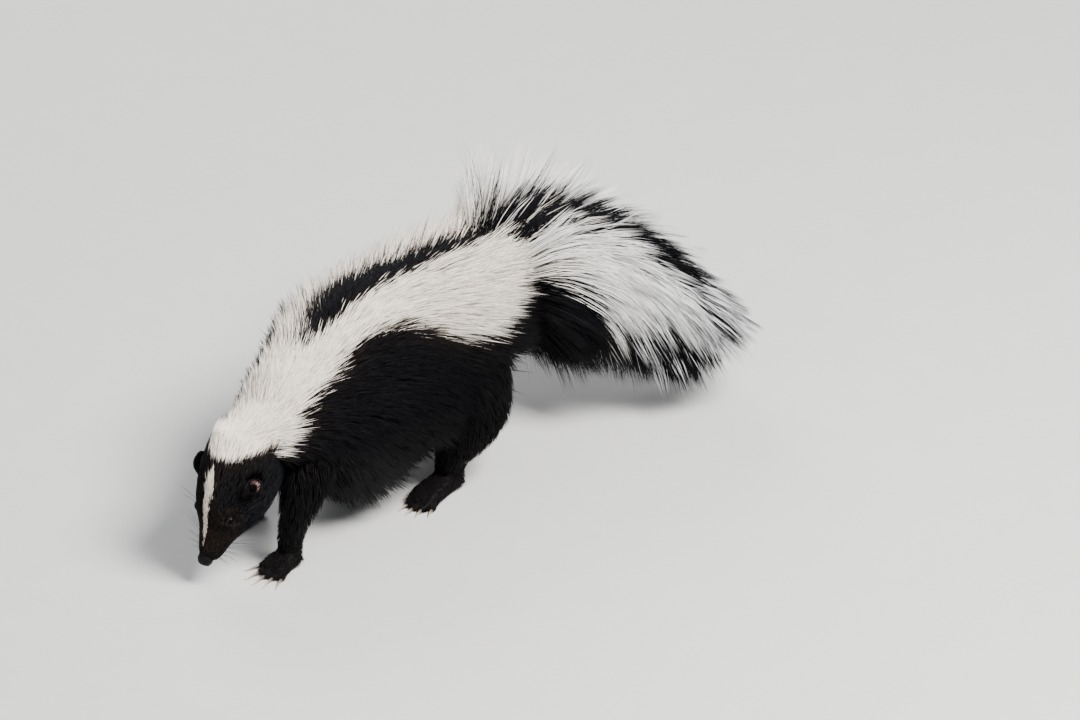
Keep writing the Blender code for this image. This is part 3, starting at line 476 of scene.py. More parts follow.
def closed_rings(rings, first=0, inside_out=False):
    """Points and faces of rings of equal size, with the faces' points counted from a first number:
    quads between the rings and a fan to each end's middle."""
    count, sides = rings.shape[:2]
    points = np.concatenate([rings.reshape(-1, 3), rings[[0, -1]].mean(axis=1)])
    ring, last = (np.arange(count - 1) * sides)[:, None], (count - 1) * sides
    side = np.arange(sides)
    after = (side + 1) % sides
    start = np.stack([after, side, np.full(sides, last + sides)], axis=-1)
    end = np.stack([last + side, last + after, np.full(sides, last + sides + 1)], axis=-1)
    faces = [bands(ring, ring + sides, sides) + first, np.concatenate([start, end]) + first]
    return points, [f[:, ::-1] for f in faces] if inside_out else faces


closed, first = [], 0
for rings in forms:
    closed.append(closed_rings(rings, first))
    first += len(closed[-1][0])
points, faces = zip(*closed)
skin = mesh_object("skin", np.concatenate(points), [np.concatenate(kind) for kind in zip(*faces)])
fuse = skin.modifiers.new("fuse", "REMESH")
fuse.mode, fuse.voxel_size = "VOXEL", SKIN_GRAIN
ease = skin.modifiers.new("ease", "SMOOTH")
ease.factor, ease.iterations = 0.5, 6
fused = bpy.data.meshes.new_from_object(skin.evaluated_get(bpy.context.evaluated_depsgraph_get()))
skin.modifiers.clear()
separate, skin.data = skin.data, fused
bpy.data.meshes.remove(separate)


def search_tree(points):
    """A tree that finds the nearest of these points."""
    tree = kdtree.KDTree(len(points))
    for number, point in enumerate(points):
        tree.insert(point, number)
    tree.balance()
    return tree


sources, charts = np.concatenate(sources), np.concatenate(charts)
nearest = search_tree(sources[:, :3])


def told(points, mixed=5):
    """What the forms say at these points: the mean of the nearest places, weighted by closeness,
    and the region and the place on the unwrap of the very nearest."""
    found = np.array([[hit[1:] for hit in nearest.find_n(point, mixed)] for point in points])
    index, weight = found[..., 0].astype(int), 1 / (found[..., 1] + 1e-4) ** 2
    weight /= weight.sum(axis=1, keepdims=True)
    mean = (sources[index, 3:] * weight[..., None]).sum(axis=1)
    here = dict(zip(FIELDS, mean[:, 3:].T))
    here["region"] = sources[index[:, 0], -1].astype(int)
    return here | dict(flow=unit(mean[:, :3]), chart=charts[index[:, 0]])


def numbers(collection, key, width, kind=np.float32):
    """A whole attribute of a mesh's elements as an array."""
    values = np.empty(len(collection) * width, kind)
    collection.foreach_get(key, values)
    return values.reshape(-1, width) if width > 1 else values


skin_points = numbers(skin.data.vertices, "co", 3).astype(float)
skin_told = told(skin_points)
layer = skin.data.attributes.new("white", "FLOAT", "POINT")
layer.data.foreach_set("value", skin_told["white"].astype(np.float32))


class Paint:
    """A value on its way through a material. Operators between it and numbers add Math nodes."""

    def __init__(self, tree, socket=None):
        self.tree, self.socket = tree, socket

    def node(self, kind, settings=None, sockets=None, out=0):
        """Adds a node, sets its settings and then its sockets, and gives one of its outputs."""
        made = self.tree.nodes.new(kind)
        for key, value in (settings or {}).items():
            setattr(made, key, value)
        for key, value in (sockets or {}).items():
            if isinstance(value, Paint):
                self.tree.links.new(value.socket, made.inputs[key])
            else:
                made.inputs[key].default_value = value
        return Paint(self.tree, made.outputs[out])

    def math(self, operation, *values):
        """A Math node on these values."""
        return self.node("ShaderNodeMath", {"operation": operation}, dict(enumerate(values)))

    def mix(self, share, first, second):
        """A colour between two, by a share."""
        first, second = ((*c, 1.0) if isinstance(c, tuple) else c for c in (first, second))
        return self.node("ShaderNodeMix", {"data_type": "RGBA"}, {6: first, 7: second, 0: share}, out=2)

    def field(self, name):
        """One of the mesh's own fields."""
        return self.node("ShaderNodeAttribute", {"attribute_name": name}, out=2)

    def between(self, low, high):
        """0 below low and 1 above high."""
        settings = {"interpolation_type": "SMOOTHSTEP"}
        return self.node("ShaderNodeMapRange", settings, {0: self, 1: low, 2: high})

    def texture(self, kind, **sockets):
        """A texture node of one kind, laid out over the object itself."""
        place = self.node("ShaderNodeTexCoord", out=3)
        return self.node("ShaderNodeTex" + kind, None, {"Vector": place, **sockets})

    def noise(self, scale, detail=2.0):
        """Noise at so many cells a metre of the object."""
        return self.texture("Noise", Scale=scale, Detail=detail)

    def bump(self, strength, distance):
        """A Bump node's normal, with this value as the height."""
        sockets = {"Height": self, "Strength": strength, "Distance": distance}
        return self.node("ShaderNodeBump", None, sockets)

    def wire(self, colour, normal=None):
        """Links a colour and a normal to the Principled shader of this value's material."""
        for key, value in (("Base Color", colour), ("Normal", normal)):
            if value:
                self.tree.links.new(value.socket, self.tree.nodes["Principled BSDF"].inputs[key])

    def __add__(self, other):
        return self.math("ADD", self, other)

    def __sub__(self, other):
        return self.math("SUBTRACT", self, other)

    def __mul__(self, other):
        return self.math("MULTIPLY", self, other)


def material(name, roughness, shine, sheen=0.0):
    """A new material with these values on its Principled shader, and the start of its paint."""
    made = bpy.data.materials.new(name)
    made.use_nodes = True
    values = {"Roughness": roughness, "Specular IOR Level": shine, "Sheen Weight": sheen}
    for key, value in values.items():
        made.node_tree.nodes["Principled BSDF"].inputs[key].default_value = value
    return made, Paint(made.node_tree)


BLACK_UNDER, BLACK_BROWN, WHITE_UNDER = (0.002, 0.002, 0.002), (0.005, 0.004, 0.004), (0.62, 0.55, 0.46)
skin_finish, paint = material("short_fur_and_skin", 0.6, 0.1)
ragged = paint.field("white") + (paint.noise(700, 3) - 0.5) * 0.003
dark = paint.mix(paint.noise(260, 3).between(0.35, 0.7), BLACK_UNDER, BLACK_BROWN)
paint.wire(paint.mix(ragged.between(-0.0006, 0.0006), dark, WHITE_UNDER),
           normal=paint.noise(2600, 3).bump(0.5, 0.0006))


def finished(made, finish, slot, *replaced):
    """Gives a piece its material, hangs it on the root body and hides the CAD parts that it replaces. The
    slot is not used.
    """
    made.data.materials.clear()
    made.data.materials.append(finish)
    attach(made, "root")
    if replaced:
        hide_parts(*replaced)
    return made


def piece(name, points, faces, finish, slot, *replaced, **fields):
    """A finished piece laid out in the skunk's own frame and moved to its place in the CAD's."""
    return finished(mesh_object(name, points + SHIFT, faces, fields), finish, slot, *replaced)


FLESH = ["head", "neck", "torso", "tail"]
FLESH += [f"{part}_{word}" for part in ("leg", "paw") for word in FEET]
skin.data.vertices.foreach_set("co", (skin_points + SHIFT).astype(np.float32).ravel())
skin.data.update()
finished(skin, skin_finish, "black_fur", *FLESH)

# Eyes and lids
# Small dark glossy eyes, each a ball with a slightly fuller cornea, between two thin bare lids that
# meet at the corners and run out into the skin.
EYE_RADIUS = 0.0037
EYE_TURNED_OUT, EYE_TURNED_AHEAD = 0.86, 0.36
LID_REACH, LID_SWELL, LID_INSIDE = 0.62, 0.13, 0.86
GLOSS_BLACK, IRIS_BROWN = (0.001, 0.001, 0.001), (0.004, 0.002, 0.0015)
LID_RIM, LID_SKIN = (0.011, 0.008, 0.007), (0.004, 0.0035, 0.0035)
eye_middles = {}
eye_finish, paint = material("eye_gloss", 0.06, 0.05)
paint.wire(paint.mix(paint.field("off_axis").between(0.42, 0.72), GLOSS_BLACK, IRIS_BROWN))
lid_finish, paint = material("eyelid_skin", 0.55, 0.1)
paint.wire(paint.mix(paint.field("rim").between(0.15, 0.6), LID_RIM, LID_SKIN),
           normal=paint.noise(3000).bump(0.3, 0.0003))


def turned(looks, angle, turn, along, over):
    """Directions at an angle off the way the eye looks, turned round it."""
    side = np.cos(turn)[..., None] * along + np.sin(turn)[..., None] * over
    return np.cos(angle)[..., None] * looks + np.sin(angle)[..., None] * side


for side, word in ((LEFT, "left"), (RIGHT, "right")):
    middle = head_point(EYE_AT[0], -side * EYE_AT[1], EYE_AT[2])
    looks = unit(-side * EYE_TURNED_OUT * TO_LEFT + EYE_TURNED_AHEAD * (FORWARD + CROWN))
    along = unit(FORWARD - looks * (FORWARD @ looks))
    over = np.cross(looks, along) * -side
    over = over if over @ CROWN > 0 else -over
    eye_middles[side] = middle
    off, turn = np.meshgrid(np.linspace(0.02, np.pi - 0.02, 36), turns(64), indexing="ij")
    ball = EYE_RADIUS * (0.985 + 0.03 * np.exp(-(off / 0.6) ** 2))
    rings = middle + ball[..., None] * turned(looks, off, turn, along, over)
    piece(f"eyeball_{word}", *closed_rings(rings, inside_out=side == LEFT), eye_finish, "eye_gloss",
          f"eye_{word}", off_axis=np.append(off.ravel(), [0.0, np.pi]))
    # The lids' section runs from inside the ball over the rim and down into the cheek. The order of
    # a face's corners turns round with the side, so that the faces of both eyes point outward.
    r, turn = np.meshgrid(np.linspace(0, 1, 14), turns(72), indexing="ij")
    opening = 0.68 + 0.46 * np.abs(np.cos(turn)) ** 2.2
    off = opening + LID_REACH * r
    out = EYE_RADIUS * (0.99 + LID_SWELL * np.sin(np.pi * np.clip(r * 1.4, 0, 1)) ** 0.8 - 0.12 * r**2)
    way = turned(looks, off, turn, along, over)
    inner = middle + LID_INSIDE * EYE_RADIUS * way
    rings = np.concatenate([middle + out[..., None] * way, inner[::-1]])
    count, sides = rings.shape[:2]
    loop = (np.arange(count) * sides)[:, None]
    faces = bands(loop, np.roll(loop, -1, axis=0), sides)[:, ::side]
    rim = np.concatenate([r.ravel(), np.ones(r.size)])
    piece(f"lids_{word}", rings.reshape(-1, 3), [faces], lid_finish, "black_fur", rim=rim)

# Nose
# The bare dark pad at the tip of the muzzle, pebbled, with two comma-shaped nostrils that open to
# the sides and a groove between them, dented in and painted darker inside as painted shade.
NOSE_BLACK, PIT_SHADE = (0.005, 0.004, 0.004), (0.0008, 0.0008, 0.0008)
nose_finish, paint = material("nose_skin", 0.45, 0.08)
# The nostrils and the groove are painted near black as painted shade.
paint.wire(paint.mix(paint.field("pit").between(0.1, 0.6), NOSE_BLACK, PIT_SHADE),
           normal=paint.texture("Voronoi", Scale=1900.0).bump(0.35, 0.0003))
NOSE_BACK, NOSE_SWELL, NOSE_RISE = HEAD_SECTIONS[0, 0] + 0.0012, 0.0009, 0.0010
NOSE_HALF, NOSE_ABOVE, NOSE_BELOW, NOSE_POWERS = 0.0054, 0.0048, 0.0050, (2.3, 1.9)
NOSTRIL_OUT, NOSTRIL_WIDE, NOSTRIL_HIGH, NOSTRIL_DEEP = 0.0027, 0.0010, 0.0011, 0.0017
GROOVE_WIDE, GROOVE_TOP = 0.0004, 0.002
share = np.concatenate([np.linspace(1, 0.2, 16), np.linspace(0.17, 0.0, 12)])[:, None]
turn = turns(72)[None, :]
size = spline([0.0, 0.06, 0.2, 0.45, 0.75, 1.0], [0.10, 0.46, 0.78, 0.96, 1.0, 0.92])(share)
left, up = section(turn + 0 * share, NOSE_HALF * size, NOSE_ABOVE * size, NOSE_BELOW * size, *NOSE_POWERS)
rings = head_point(NOSE_BACK * share - NOSE_SWELL * (1 - share), left, up + NOSE_RISE)
from_middle = np.abs(left) - NOSTRIL_OUT - 0.5 * np.maximum(0.0008 - up, 0)
nostril = np.exp(-(from_middle / NOSTRIL_WIDE) ** 2 - ((up - 0.0002) / NOSTRIL_HIGH) ** 2)
groove = 0.32 * np.exp(-(left / GROOVE_WIDE) ** 2) * smooth(0.6, 0.3, share) * (up < GROOVE_TOP)
hole = nostril * smooth(0.75, 0.35, share) + groove
rings += unit(head_point(NOSE_BACK, 0.0, 0.0) - rings) * (NOSTRIL_DEEP * hole)[..., None]
# How deep each place is dented is also how far it is painted towards black, as painted shade.
piece("nose_pad", *closed_rings(rings, inside_out=True), nose_finish, "nose_skin", "nose",
      pit=np.append(hole.ravel(), [0, 0]))

# Mouth
# The bare dark lips of the closed mouth: two soft rolls of skin, one over the other, that run from
# corner to corner below the nose.
LIP_ANGLE, LIP_RADIUS, LIPS_APART, LIPS_SUNK = np.radians(122.0), 0.00062, 0.00052, 0.00070
side_line = head_surface(np.array([0.0290, 0.0215, 0.0140, 0.0080]), LIP_ANGLE, LIPS_SUNK)
mirrored = side_line * [1, -1, 1] + [0, 2 * NOSE_TIP[1], 0]
under_nose = head_point([0.0056], [0.0], [-0.0050])
line = np.concatenate([side_line, under_nose, mirrored[::-1]])
share = np.linspace(0, 1, 90)
line = spline(np.linspace(0, 1, len(line)), line)(share)
along = unit(np.gradient(line, axis=0))
over = unit(CROWN - along * (along @ CROWN)[:, None])
outside = unit(np.cross(along, over))
lip_finish, paint = material("lip_skin", 0.5, 0.08)
# One noise bumps the lips' creases and paints their hollows darker, as painted shade.
creases_and_shade = paint.noise(2400, 3)
paint.wire(paint.mix(creases_and_shade, (0.004, 0.0035, 0.0035), (0.012, 0.009, 0.0085)),
           normal=creases_and_shade.bump(0.35, 0.0003))
radius = np.sin(np.pi * np.clip(share, 0.02, 0.98)) ** 0.8 * LIP_RADIUS
for word, level in (("upper", 1), ("lower", -1)):
    rings = tube(line + level * LIPS_APART * over, radius, outside, over, turns(14))
    piece(f"lip_{word}", *closed_rings(rings), lip_finish, "nose_skin")

# Coat
# Thousands of thin tapered tufts, each a closed three-sided blade that leaves the skin at an angle,
# bends along the lie of the coat and ends in a point. Tufts that share a lock lean to its tip.
rng = np.random.default_rng(7)
TRIANGLES_A_PIECE = 185000
PATCH = 0.003
# Cream and cool white: the roots are darker than the tips as painted shade deep in the coat between the
# tufts.
CREAM_SHADED_ROOT, CREAM_TIP = (0.66, 0.54, 0.42), (0.90, 0.81, 0.70)
COOL_SHADED_ROOT, COOL_TIP = (0.36, 0.36, 0.38), (0.84, 0.87, 0.91)
# Black tufts: a darker root as painted shade, and a lighter, bluish tip as a painted sheen.
BLACK_SHADED_ROOT, BLACK_SHEEN_TIP, BROWN_TIP = (0.002, 0.002, 0.0023), (0.0045, 0.0048, 0.0064), (0.022, 0.014, 0.010)


def tuft_paths(root, normal, flow, length, lift, droop, curl, bends):
    """Points along each tuft: equal steps that start at the lift angle over the skin, turn down to
    the flow by the curl and sink by the droop."""
    flow = unit(flow - normal * (flow * normal).sum(axis=1, keepdims=True))
    share = (np.arange(bends) + 0.5) / bends
    angle = lift[:, None] * (1 - curl * share)
    steps = np.cos(angle)[..., None] * flow[:, None] + np.sin(angle)[..., None] * normal[:, None]
    steps = unit(steps - UP * (droop[:, None] * share**1.3)[..., None])
    steps = steps * (length[:, None] / bends)[..., None]
    return np.concatenate([root[:, None], root[:, None] + np.cumsum(steps, axis=1)], axis=1)


def locks(places, size):
    """For each place the number of its lock: the nearest of places drawn at random, one in size."""
    parents = np.flatnonzero(rng.random(len(places)) < 1 / size)
    tree = search_tree(places[parents])
    return parents[[tree.find(point)[1] for point in places]]


def gathered(paths, own, pull):
    """The paths pulled towards their own lock's path, more so towards the tip."""
    share = np.linspace(0, 1, paths.shape[1])[None, :, None] ** 1.4
    return paths + (paths[own] - paths) * share * pull


def tuft_mesh(name, paths, normal, width, chart, warm, tone):
    """Closed three-sided blades round the paths: a wide flat underside and a low ridge over it."""
    count, stops = paths.shape[:2]
    along = np.gradient(paths, axis=1)
    across = unit(np.cross(along, normal[:, None]))
    over = unit(np.cross(across, along))
    share = np.linspace(0, 1, stops)[None, :-1, None]
    half = 0.5 * width[:, None, None] * (0.85 + 0.5 * share - 1.1 * share**2)
    p, a, o = paths[:, :-1], across[:, :-1] * half, over[:, :-1] * half
    rings = np.stack([p + a, p + 0.8 * o, p - a], axis=2)
    points = np.concatenate([rings.reshape(count, -1, 3), paths[:, -1:]], axis=1)
    each, last = points.shape[1], 3 * (stops - 2)
    ring = (np.arange(stops - 2) * 3)[:, None]
    quads = bands(ring, ring + 3, 3)
    ends = np.array([[2, 1, 0]] + [[last + i, last + (i + 1) % 3, each - 1] for i in range(3)])
    first = (np.arange(count) * each)[:, None, None]
    faces = [(quads + first).reshape(-1, 4), (ends + first).reshape(-1, 3)]
    along_share = np.append(np.repeat(np.linspace(0, 1, stops)[:-1], 3), 1.0)
    fields = {"warm": np.repeat(warm, each), "tone": np.repeat(tone, each)}
    fields["tipward"] = np.tile(along_share, count)
    made = mesh_object(name, points.reshape(-1, 3) + SHIFT, faces, fields)
    side = np.append(np.tile([0.0, 0.5, 1.0], stops - 1), 0.5)
    patch = np.stack([side, along_share], axis=-1)[None] * PATCH + chart[:, None]
    corner = numbers(made.data.loops, "vertex_index", 1, np.int32)
    layer = made.data.uv_layers.new(name="OFBake")
    layer.data.foreach_set("uv", patch.reshape(-1, 2)[corner].astype(np.float32).ravel())
    return made


coat_finishes = {}
for slot, rough, shine, sheen in (("white_fur", 0.5, 0.3, 0.1), ("black_fur", 0.42, 0.05, 0.0)):
    finish, paint = material(f"coat_{slot}", rough, shine, sheen)
    tipward, tone, warm = paint.field("tipward"), paint.field("tone"), paint.field("warm")
    if slot == "white_fur":
        # White tufts are painted darker towards the root as painted shade; tone darkens some of them at
        # random.
        cream = paint.mix(tipward.between(0.0, 0.55), CREAM_SHADED_ROOT, CREAM_TIP)
        cool = paint.mix(tipward.between(0.0, 0.7), COOL_SHADED_ROOT, COOL_TIP)
        colour = paint.mix(warm, cool, cream)
        colour = paint.mix(tone.between(0.55, 1.0) * 0.3, colour, CREAM_SHADED_ROOT)
    else:
        # Black tufts are painted darker at the root as painted shade, and lighter and bluish at the tip as
        # a painted sheen.
        colour = paint.mix(tipward.between(0.0, 0.7), BLACK_SHADED_ROOT, BLACK_SHEEN_TIP)
        colour = paint.mix(warm * tone.between(0.0, 0.8), colour, BROWN_TIP)
    paint.wire(colour)
    coat_finishes[slot] = finish


def coat_pieces(name, paths, normal, width, chart, white, warm, tone):
    """Makes the white tufts and the black tufts of a part of the coat, in pieces of a fair size."""
    each = 6 * (paths.shape[1] - 1) - 2
    for word, chosen in (("white", white), ("black", ~white)):
        chosen = np.flatnonzero(chosen)
        pieces = int(np.ceil(len(chosen) * each / TRIANGLES_A_PIECE))
        for number, own in enumerate(np.array_split(chosen, pieces) if pieces else []):
            here = [values[own] for values in (paths, normal, width, chart, warm, tone)]
            made = tuft_mesh(f"{name}_{word}_{number + 1}", *here)
            finished(made, coat_finishes[f"{word}_fur"], f"{word}_fur")


skin.data.calc_loop_triangles()
triangles = numbers(skin.data.loop_triangles, "vertices", 3, np.int32)
corners = skin_points[triangles]
areas = np.linalg.norm(np.cross(corners[:, 1] - corners[:, 0], corners[:, 2] - corners[:, 0]), axis=1) / 2
vertex_normals = numbers(skin.data.vertices, "normal", 3).astype(float)
face_regions = skin_told["region"][triangles[:, 0]]


def scattered(count, weights):
    """Places on the skin, one in each equal share of its weighted area: points, normals and what
    the forms say there."""
    total = np.cumsum(areas * weights)
    pick = np.searchsorted(total, (np.arange(count) + rng.random(count)) / count * total[-1])
    pick = np.minimum(pick, len(triangles) - 1)
    a, b = rng.random((2, count))
    flip = a + b > 1
    a, b = np.where(flip, 1 - a, a), np.where(flip, 1 - b, b)
    mix = np.stack([1 - a - b, a, b], axis=-1)[..., None]
    root = (corners[pick] * mix).sum(axis=1)
    normal = unit((vertex_normals[triangles[pick]] * mix).sum(axis=1))
    return root, normal, told(root)


BOX_MARGIN, SHORTENED = 0.0024, (0.60, 1.0)


def kept_in(paths):
    """Shortens the tufts that would pass the box of the solids by more than a margin, each to its own
    share of the way there."""
    low, high = np.array(CAD_BOX) - SHIFT + BOX_MARGIN * np.array([[-1], [1]])
    steps = paths[:, 1:] - paths[:, :1]
    room = np.where(steps > 0, high - paths[:, :1], paths[:, :1] - low)
    share = (np.maximum(room, 0) / np.maximum(np.abs(steps), 1e-6)).min(axis=(1, 2))
    share = np.where(share < 1, share * rng.uniform(*SHORTENED, len(paths)), 1.0)
    return paths[:, :1] + (paths - paths[:, :1]) * share[:, None, None]


MUZZLE, MUZZLE_REACH = head_point(0.020, 0.0, -0.004), 0.017
CLEAR_OF_EYE, CLEAR_OF_FLOOR, CLEAR_OF_EAR, EAR_FOOT = 1.10, 0.0003, 0.0066, 0.0050
BROWN_BESIDE, BROWN_REACH, BROWN_ROUND_EYE = 0.004, 0.006, 2.1
EDGE_BROWN, MUZZLE_BROWN, EYE_BROWN, WHITE_WARMTH = 0.6, 0.75, 0.9, 0.9
LENGTHS, LIFTS, WIDTHS, BODY_CURL = (0.72, 1.15), (0.8, 1.25), (0.7, 1.2), 0.35
LOCK_LEAST, LOCK_SPREAD, OWN_STRAY, LOCK_STRAY = 0.92, 0.16, 0.95, 0.35


def body_coat(name, region, count, width, bends, pull, lock_size, stray=0.10):
    """The coat of one region: tufts on its skin, in the length, lift and lie that the forms give,
    kept off the eyes and the floor and out of the ears. Brown shows next to the stripes' edge, on the
    muzzle and round the eyes."""
    root, normal, here = scattered(count, face_regions == REGIONS[region])
    own = locks(root, lock_size)
    length = here["length"] * rng.uniform(*LENGTHS, count)
    length = length * (LOCK_LEAST + LOCK_SPREAD * rng.random(count)[own])
    flow = unit(here["flow"] + rng.normal(0, stray, (count, 3)) + rng.normal(0, stray, (count, 3))[own])
    lift = here["lift"] * rng.uniform(*LIFTS, count)
    paths = tuft_paths(root, normal, flow, length, lift, here["droop"], BODY_CURL, bends)
    paths = kept_in(gathered(paths, own, pull))
    eyes = np.array([eye_middles[side] for side in (LEFT, RIGHT)])
    off = np.linalg.norm(paths[:, :, None] - eyes, axis=3)
    clear = off.min(axis=(1, 2)) > EYE_RADIUS * CLEAR_OF_EYE
    clear &= paths[..., 2].min(axis=1) > CLEAR_OF_FLOOR
    for side in (LEFT, RIGHT):
        base, stands, _, _ = ear_axes(side)
        level = (paths - base) @ stands
        beside = np.linalg.norm(paths - base - level[..., None] * stands, axis=2)
        clear &= ~((level > EAR_FOOT) & (beside < CLEAR_OF_EAR)).any(axis=1)
    strays = OWN_STRAY * rng.normal(0, 1, count) + LOCK_STRAY * rng.normal(0, 1, count)[own]
    white = here["white"] + strays * here["soft"] > 0
    edge = np.exp(-np.abs(here["white"] + BROWN_BESIDE) / BROWN_REACH) * EDGE_BROWN
    face = np.exp(-(np.linalg.norm(root - MUZZLE, axis=1) / MUZZLE_REACH) ** 4) * MUZZLE_BROWN
    face += np.exp(-(off[:, 0].min(axis=1) / (BROWN_ROUND_EYE * EYE_RADIUS)) ** 4) * EYE_BROWN
    warm = np.where(white, WHITE_WARMTH, np.clip(edge + face, 0, 1))
    tone = 0.5 * rng.random(count) + 0.5 * rng.random(count)[own]
    wide = width * rng.uniform(*WIDTHS, count)
    coat_pieces(name, *(v[clear] for v in (paths, normal, wide, here["chart"], white, warm, tone)))


body_coat("coat_back", "back", 37000, 0.00072, 3, 0.20, 9.0, 0.08)
body_coat("coat_flank", "flank", 14000, 0.0010, 2, 0.30, 9.0)
body_coat("coat_head", "head", 15000, 0.0006, 2, 0.20, 6.0, 0.07)
body_coat("coat_legs", "leg", 9000, 0.0010, 2, 0.30, 7.0)
body_coat("coat_paws", "paw", 5000, 0.0006, 2, 0.15, 5.0)

# Tail plume
# Long hair all round the stem. It leans out and back off the top and falls at the sides and past the
# tip. White hair in thin locks lies over shorter black hair, which shows between, on top and under it.
TAIL_HAIR = 0.084
TAIL_FLOOR, FLOOR_EASE = 0.006, 0.02
TAIL_TUFTS, TAIL_TUFT_WIDTH, TAIL_BENDS, TAIL_PULL = 20500, 0.00070, 4, 0.72
TAIL_LOCK, TAIL_PATCH = 14.0, 110.0
BLACK_LENGTH, BLACK_LOWER, STRIP_LENGTH = 0.93, 0.9, 0.72
TAIL_LIFTS, TAIL_LENGTHS = (0.80, 1.12), (0.70, 1.06)
PATCH_SHARE, LOCK_SHARE, OWN_SHARE = 0.15, 0.50, 0.35
STRIP_MIDDLE, STRIP_HALF, STRIP_BLACKER, WHITE_BELOW = 0.10, 0.74, 0.82, 0.34
TAIL_WHITE_EDGE = spline([0.0, 0.12, 0.3, 0.6, 1.0], np.radians([74, 90, 108, 89, 60]))


def off_floor(paths, floor):
    """Bends what would reach below a height so that it runs out along it, as an exponential ease."""
    z = paths[..., 2]
    low = np.minimum(z, floor + FLOOR_EASE)
    paths[..., 2] = z + floor + FLOOR_EASE * np.exp((low - floor - FLOOR_EASE) / FLOOR_EASE) - low
    return paths


count = TAIL_TUFTS
angle = rng.uniform(-np.pi, np.pi, count)
share = rng.random(count) ** np.where(np.abs(angle) > np.radians(115), 1.3, 0.85)
middle, radius, along, left, up = tail_frame(share)
normal = unit(left * np.sin(angle)[:, None] + up * np.cos(angle)[:, None])
root = middle + normal * (radius * TAIL_SKIN * 0.95)[:, None]
own = locks(root, TAIL_LOCK)
top, flank = 0.5 + 0.5 * np.cos(angle), np.abs(np.sin(angle))
strip = np.exp(-((angle - STRIP_MIDDLE) / STRIP_HALF) ** 4) * smooth(1.0, 0.6, share)
chance = smooth(0.35, -0.35, np.abs(angle) - TAIL_WHITE_EDGE(share))
chance = np.maximum(chance, WHITE_BELOW * smooth(0.3, 0.5, share) * smooth(2.9, 2.4, np.abs(angle)))
chance *= (1 - STRIP_BLACKER * strip) * (0.92 - 0.44 * share)
patch = rng.random(count)[locks(root, TAIL_PATCH)]
white = PATCH_SHARE * patch + LOCK_SHARE * rng.random(count)[own] + OWN_SHARE * rng.random(count) < chance
under = (1 - top) ** 2 * (1 - share)
brush = smooth(-0.2, -0.6, angle) * smooth(-2.0, -1.2, angle) * smooth(0.45, 0.1, share)
facing = smooth(0.3, 0.8, angle) * smooth(2.0, 1.4, angle)
lift = 58 - 22 * top + 4 * flank + 14 * (1 - top) ** 2 + 16 * brush + 16 * under - 6 * facing
lift = np.radians(lift) * (1 - 0.35 * share)
own_lift = rng.uniform(*TAIL_LIFTS, count) * (LOCK_LEAST + LOCK_SPREAD * rng.random(count)[own])
lift *= own_lift * np.where(white, 1.0, BLACK_LOWER)
length = TAIL_HAIR * (1 - 0.22 * share**2 - 0.14 * top * (1 - share)) * rng.uniform(*TAIL_LENGTHS, count)
length = length * (1 - 0.3 * under * rng.random(count))
length = (length + 0.25 * radius) * np.where(white, 1.0, BLACK_LENGTH) * (1 - (1 - STRIP_LENGTH) * strip)
droop = 0.10 + 0.85 * flank * smooth(0.98, 0.6, top) * (1 - brush)
droop = droop + 0.35 * share + 0.40 * (1 - top) * (1 - share)
curl = (0.35 - 0.50 * under - 0.30 * brush)[:, None]
flow = unit(along + rng.normal(0, 0.08, (count, 3)) + rng.normal(0, 0.10, (count, 3))[own])
paths = tuft_paths(root, normal, flow, length, lift, droop, curl, TAIL_BENDS)
paths = kept_in(off_floor(gathered(paths, own, TAIL_PULL), TAIL_FLOOR))
chart = np.stack([0.5 + 0.48 * angle / np.pi, 0.01 + 0.97 * share], axis=-1)
wide = TAIL_TUFT_WIDTH * rng.uniform(*WIDTHS, count)
warm = np.where(white, 0.5 - 0.45 * share, 0.05)
tone = 0.5 * rng.random(count) + 0.5 * rng.random(count)[own]
coat_pieces("coat_tail", paths, normal, wide, chart, white, warm, tone)

# Ears
# Low rounded cups of thin skin, open to the front and side, with dull pink near the rim of one inner wall
# where light falls, and the rest of the cup painted black as painted shade. Short black fur covers the back
# and the rim, and a few black hairs lie in the cup.
EAR_HEIGHT, EAR_WIDTH, EAR_THICKNESS, EAR_LEAN = 0.0140, 0.0140, 0.0011, 0.16
# Level, width and how far inside the cup, from the foot over the rim to the bottom of the cup.
EAR_PROFILE = np.array([
    (-0.30, 0.52, 0), (-0.10, 0.60, 0), (0.20, 0.76, 0), (0.50, 0.94, 0), (0.78, 1.0, 0), (0.94, 0.93, 0),
    (1.0, 0.84, 0.3), (1.0, 0.82, 0.8), (0.95, 0.88, 1), (0.88, 0.90, 1), (0.78, 0.80, 1), (0.70, 0.58, 1),
    (0.66, 0.32, 1),
])
# The black is the outer skin's own colour, and inside the cup it is painted shade.
EAR_BLACK_AND_CUP_SHADE, EAR_PINK, EAR_PALE_PINK = (0.0022, 0.0018, 0.0018), (0.30, 0.16, 0.15), (0.50, 0.33, 0.31)
EAR_TUFTS, INNER_TUFTS, EAR_HAIR, EAR_HAIR_WIDTH = 1500, 90, 0.0044, 0.0005
LIT_WALL_AT = np.radians(135)
ear_finish, paint = material("ear_skin", 0.7, 0.03)
inner = paint.mix(paint.noise(420, 3).between(0.3, 0.7), EAR_PINK, EAR_PALE_PINK)
paint.wire(paint.mix(paint.field("lining").between(0.1, 0.8), EAR_BLACK_AND_CUP_SHADE, inner),
           normal=paint.noise(1500, 3).bump(0.3, 0.0004))


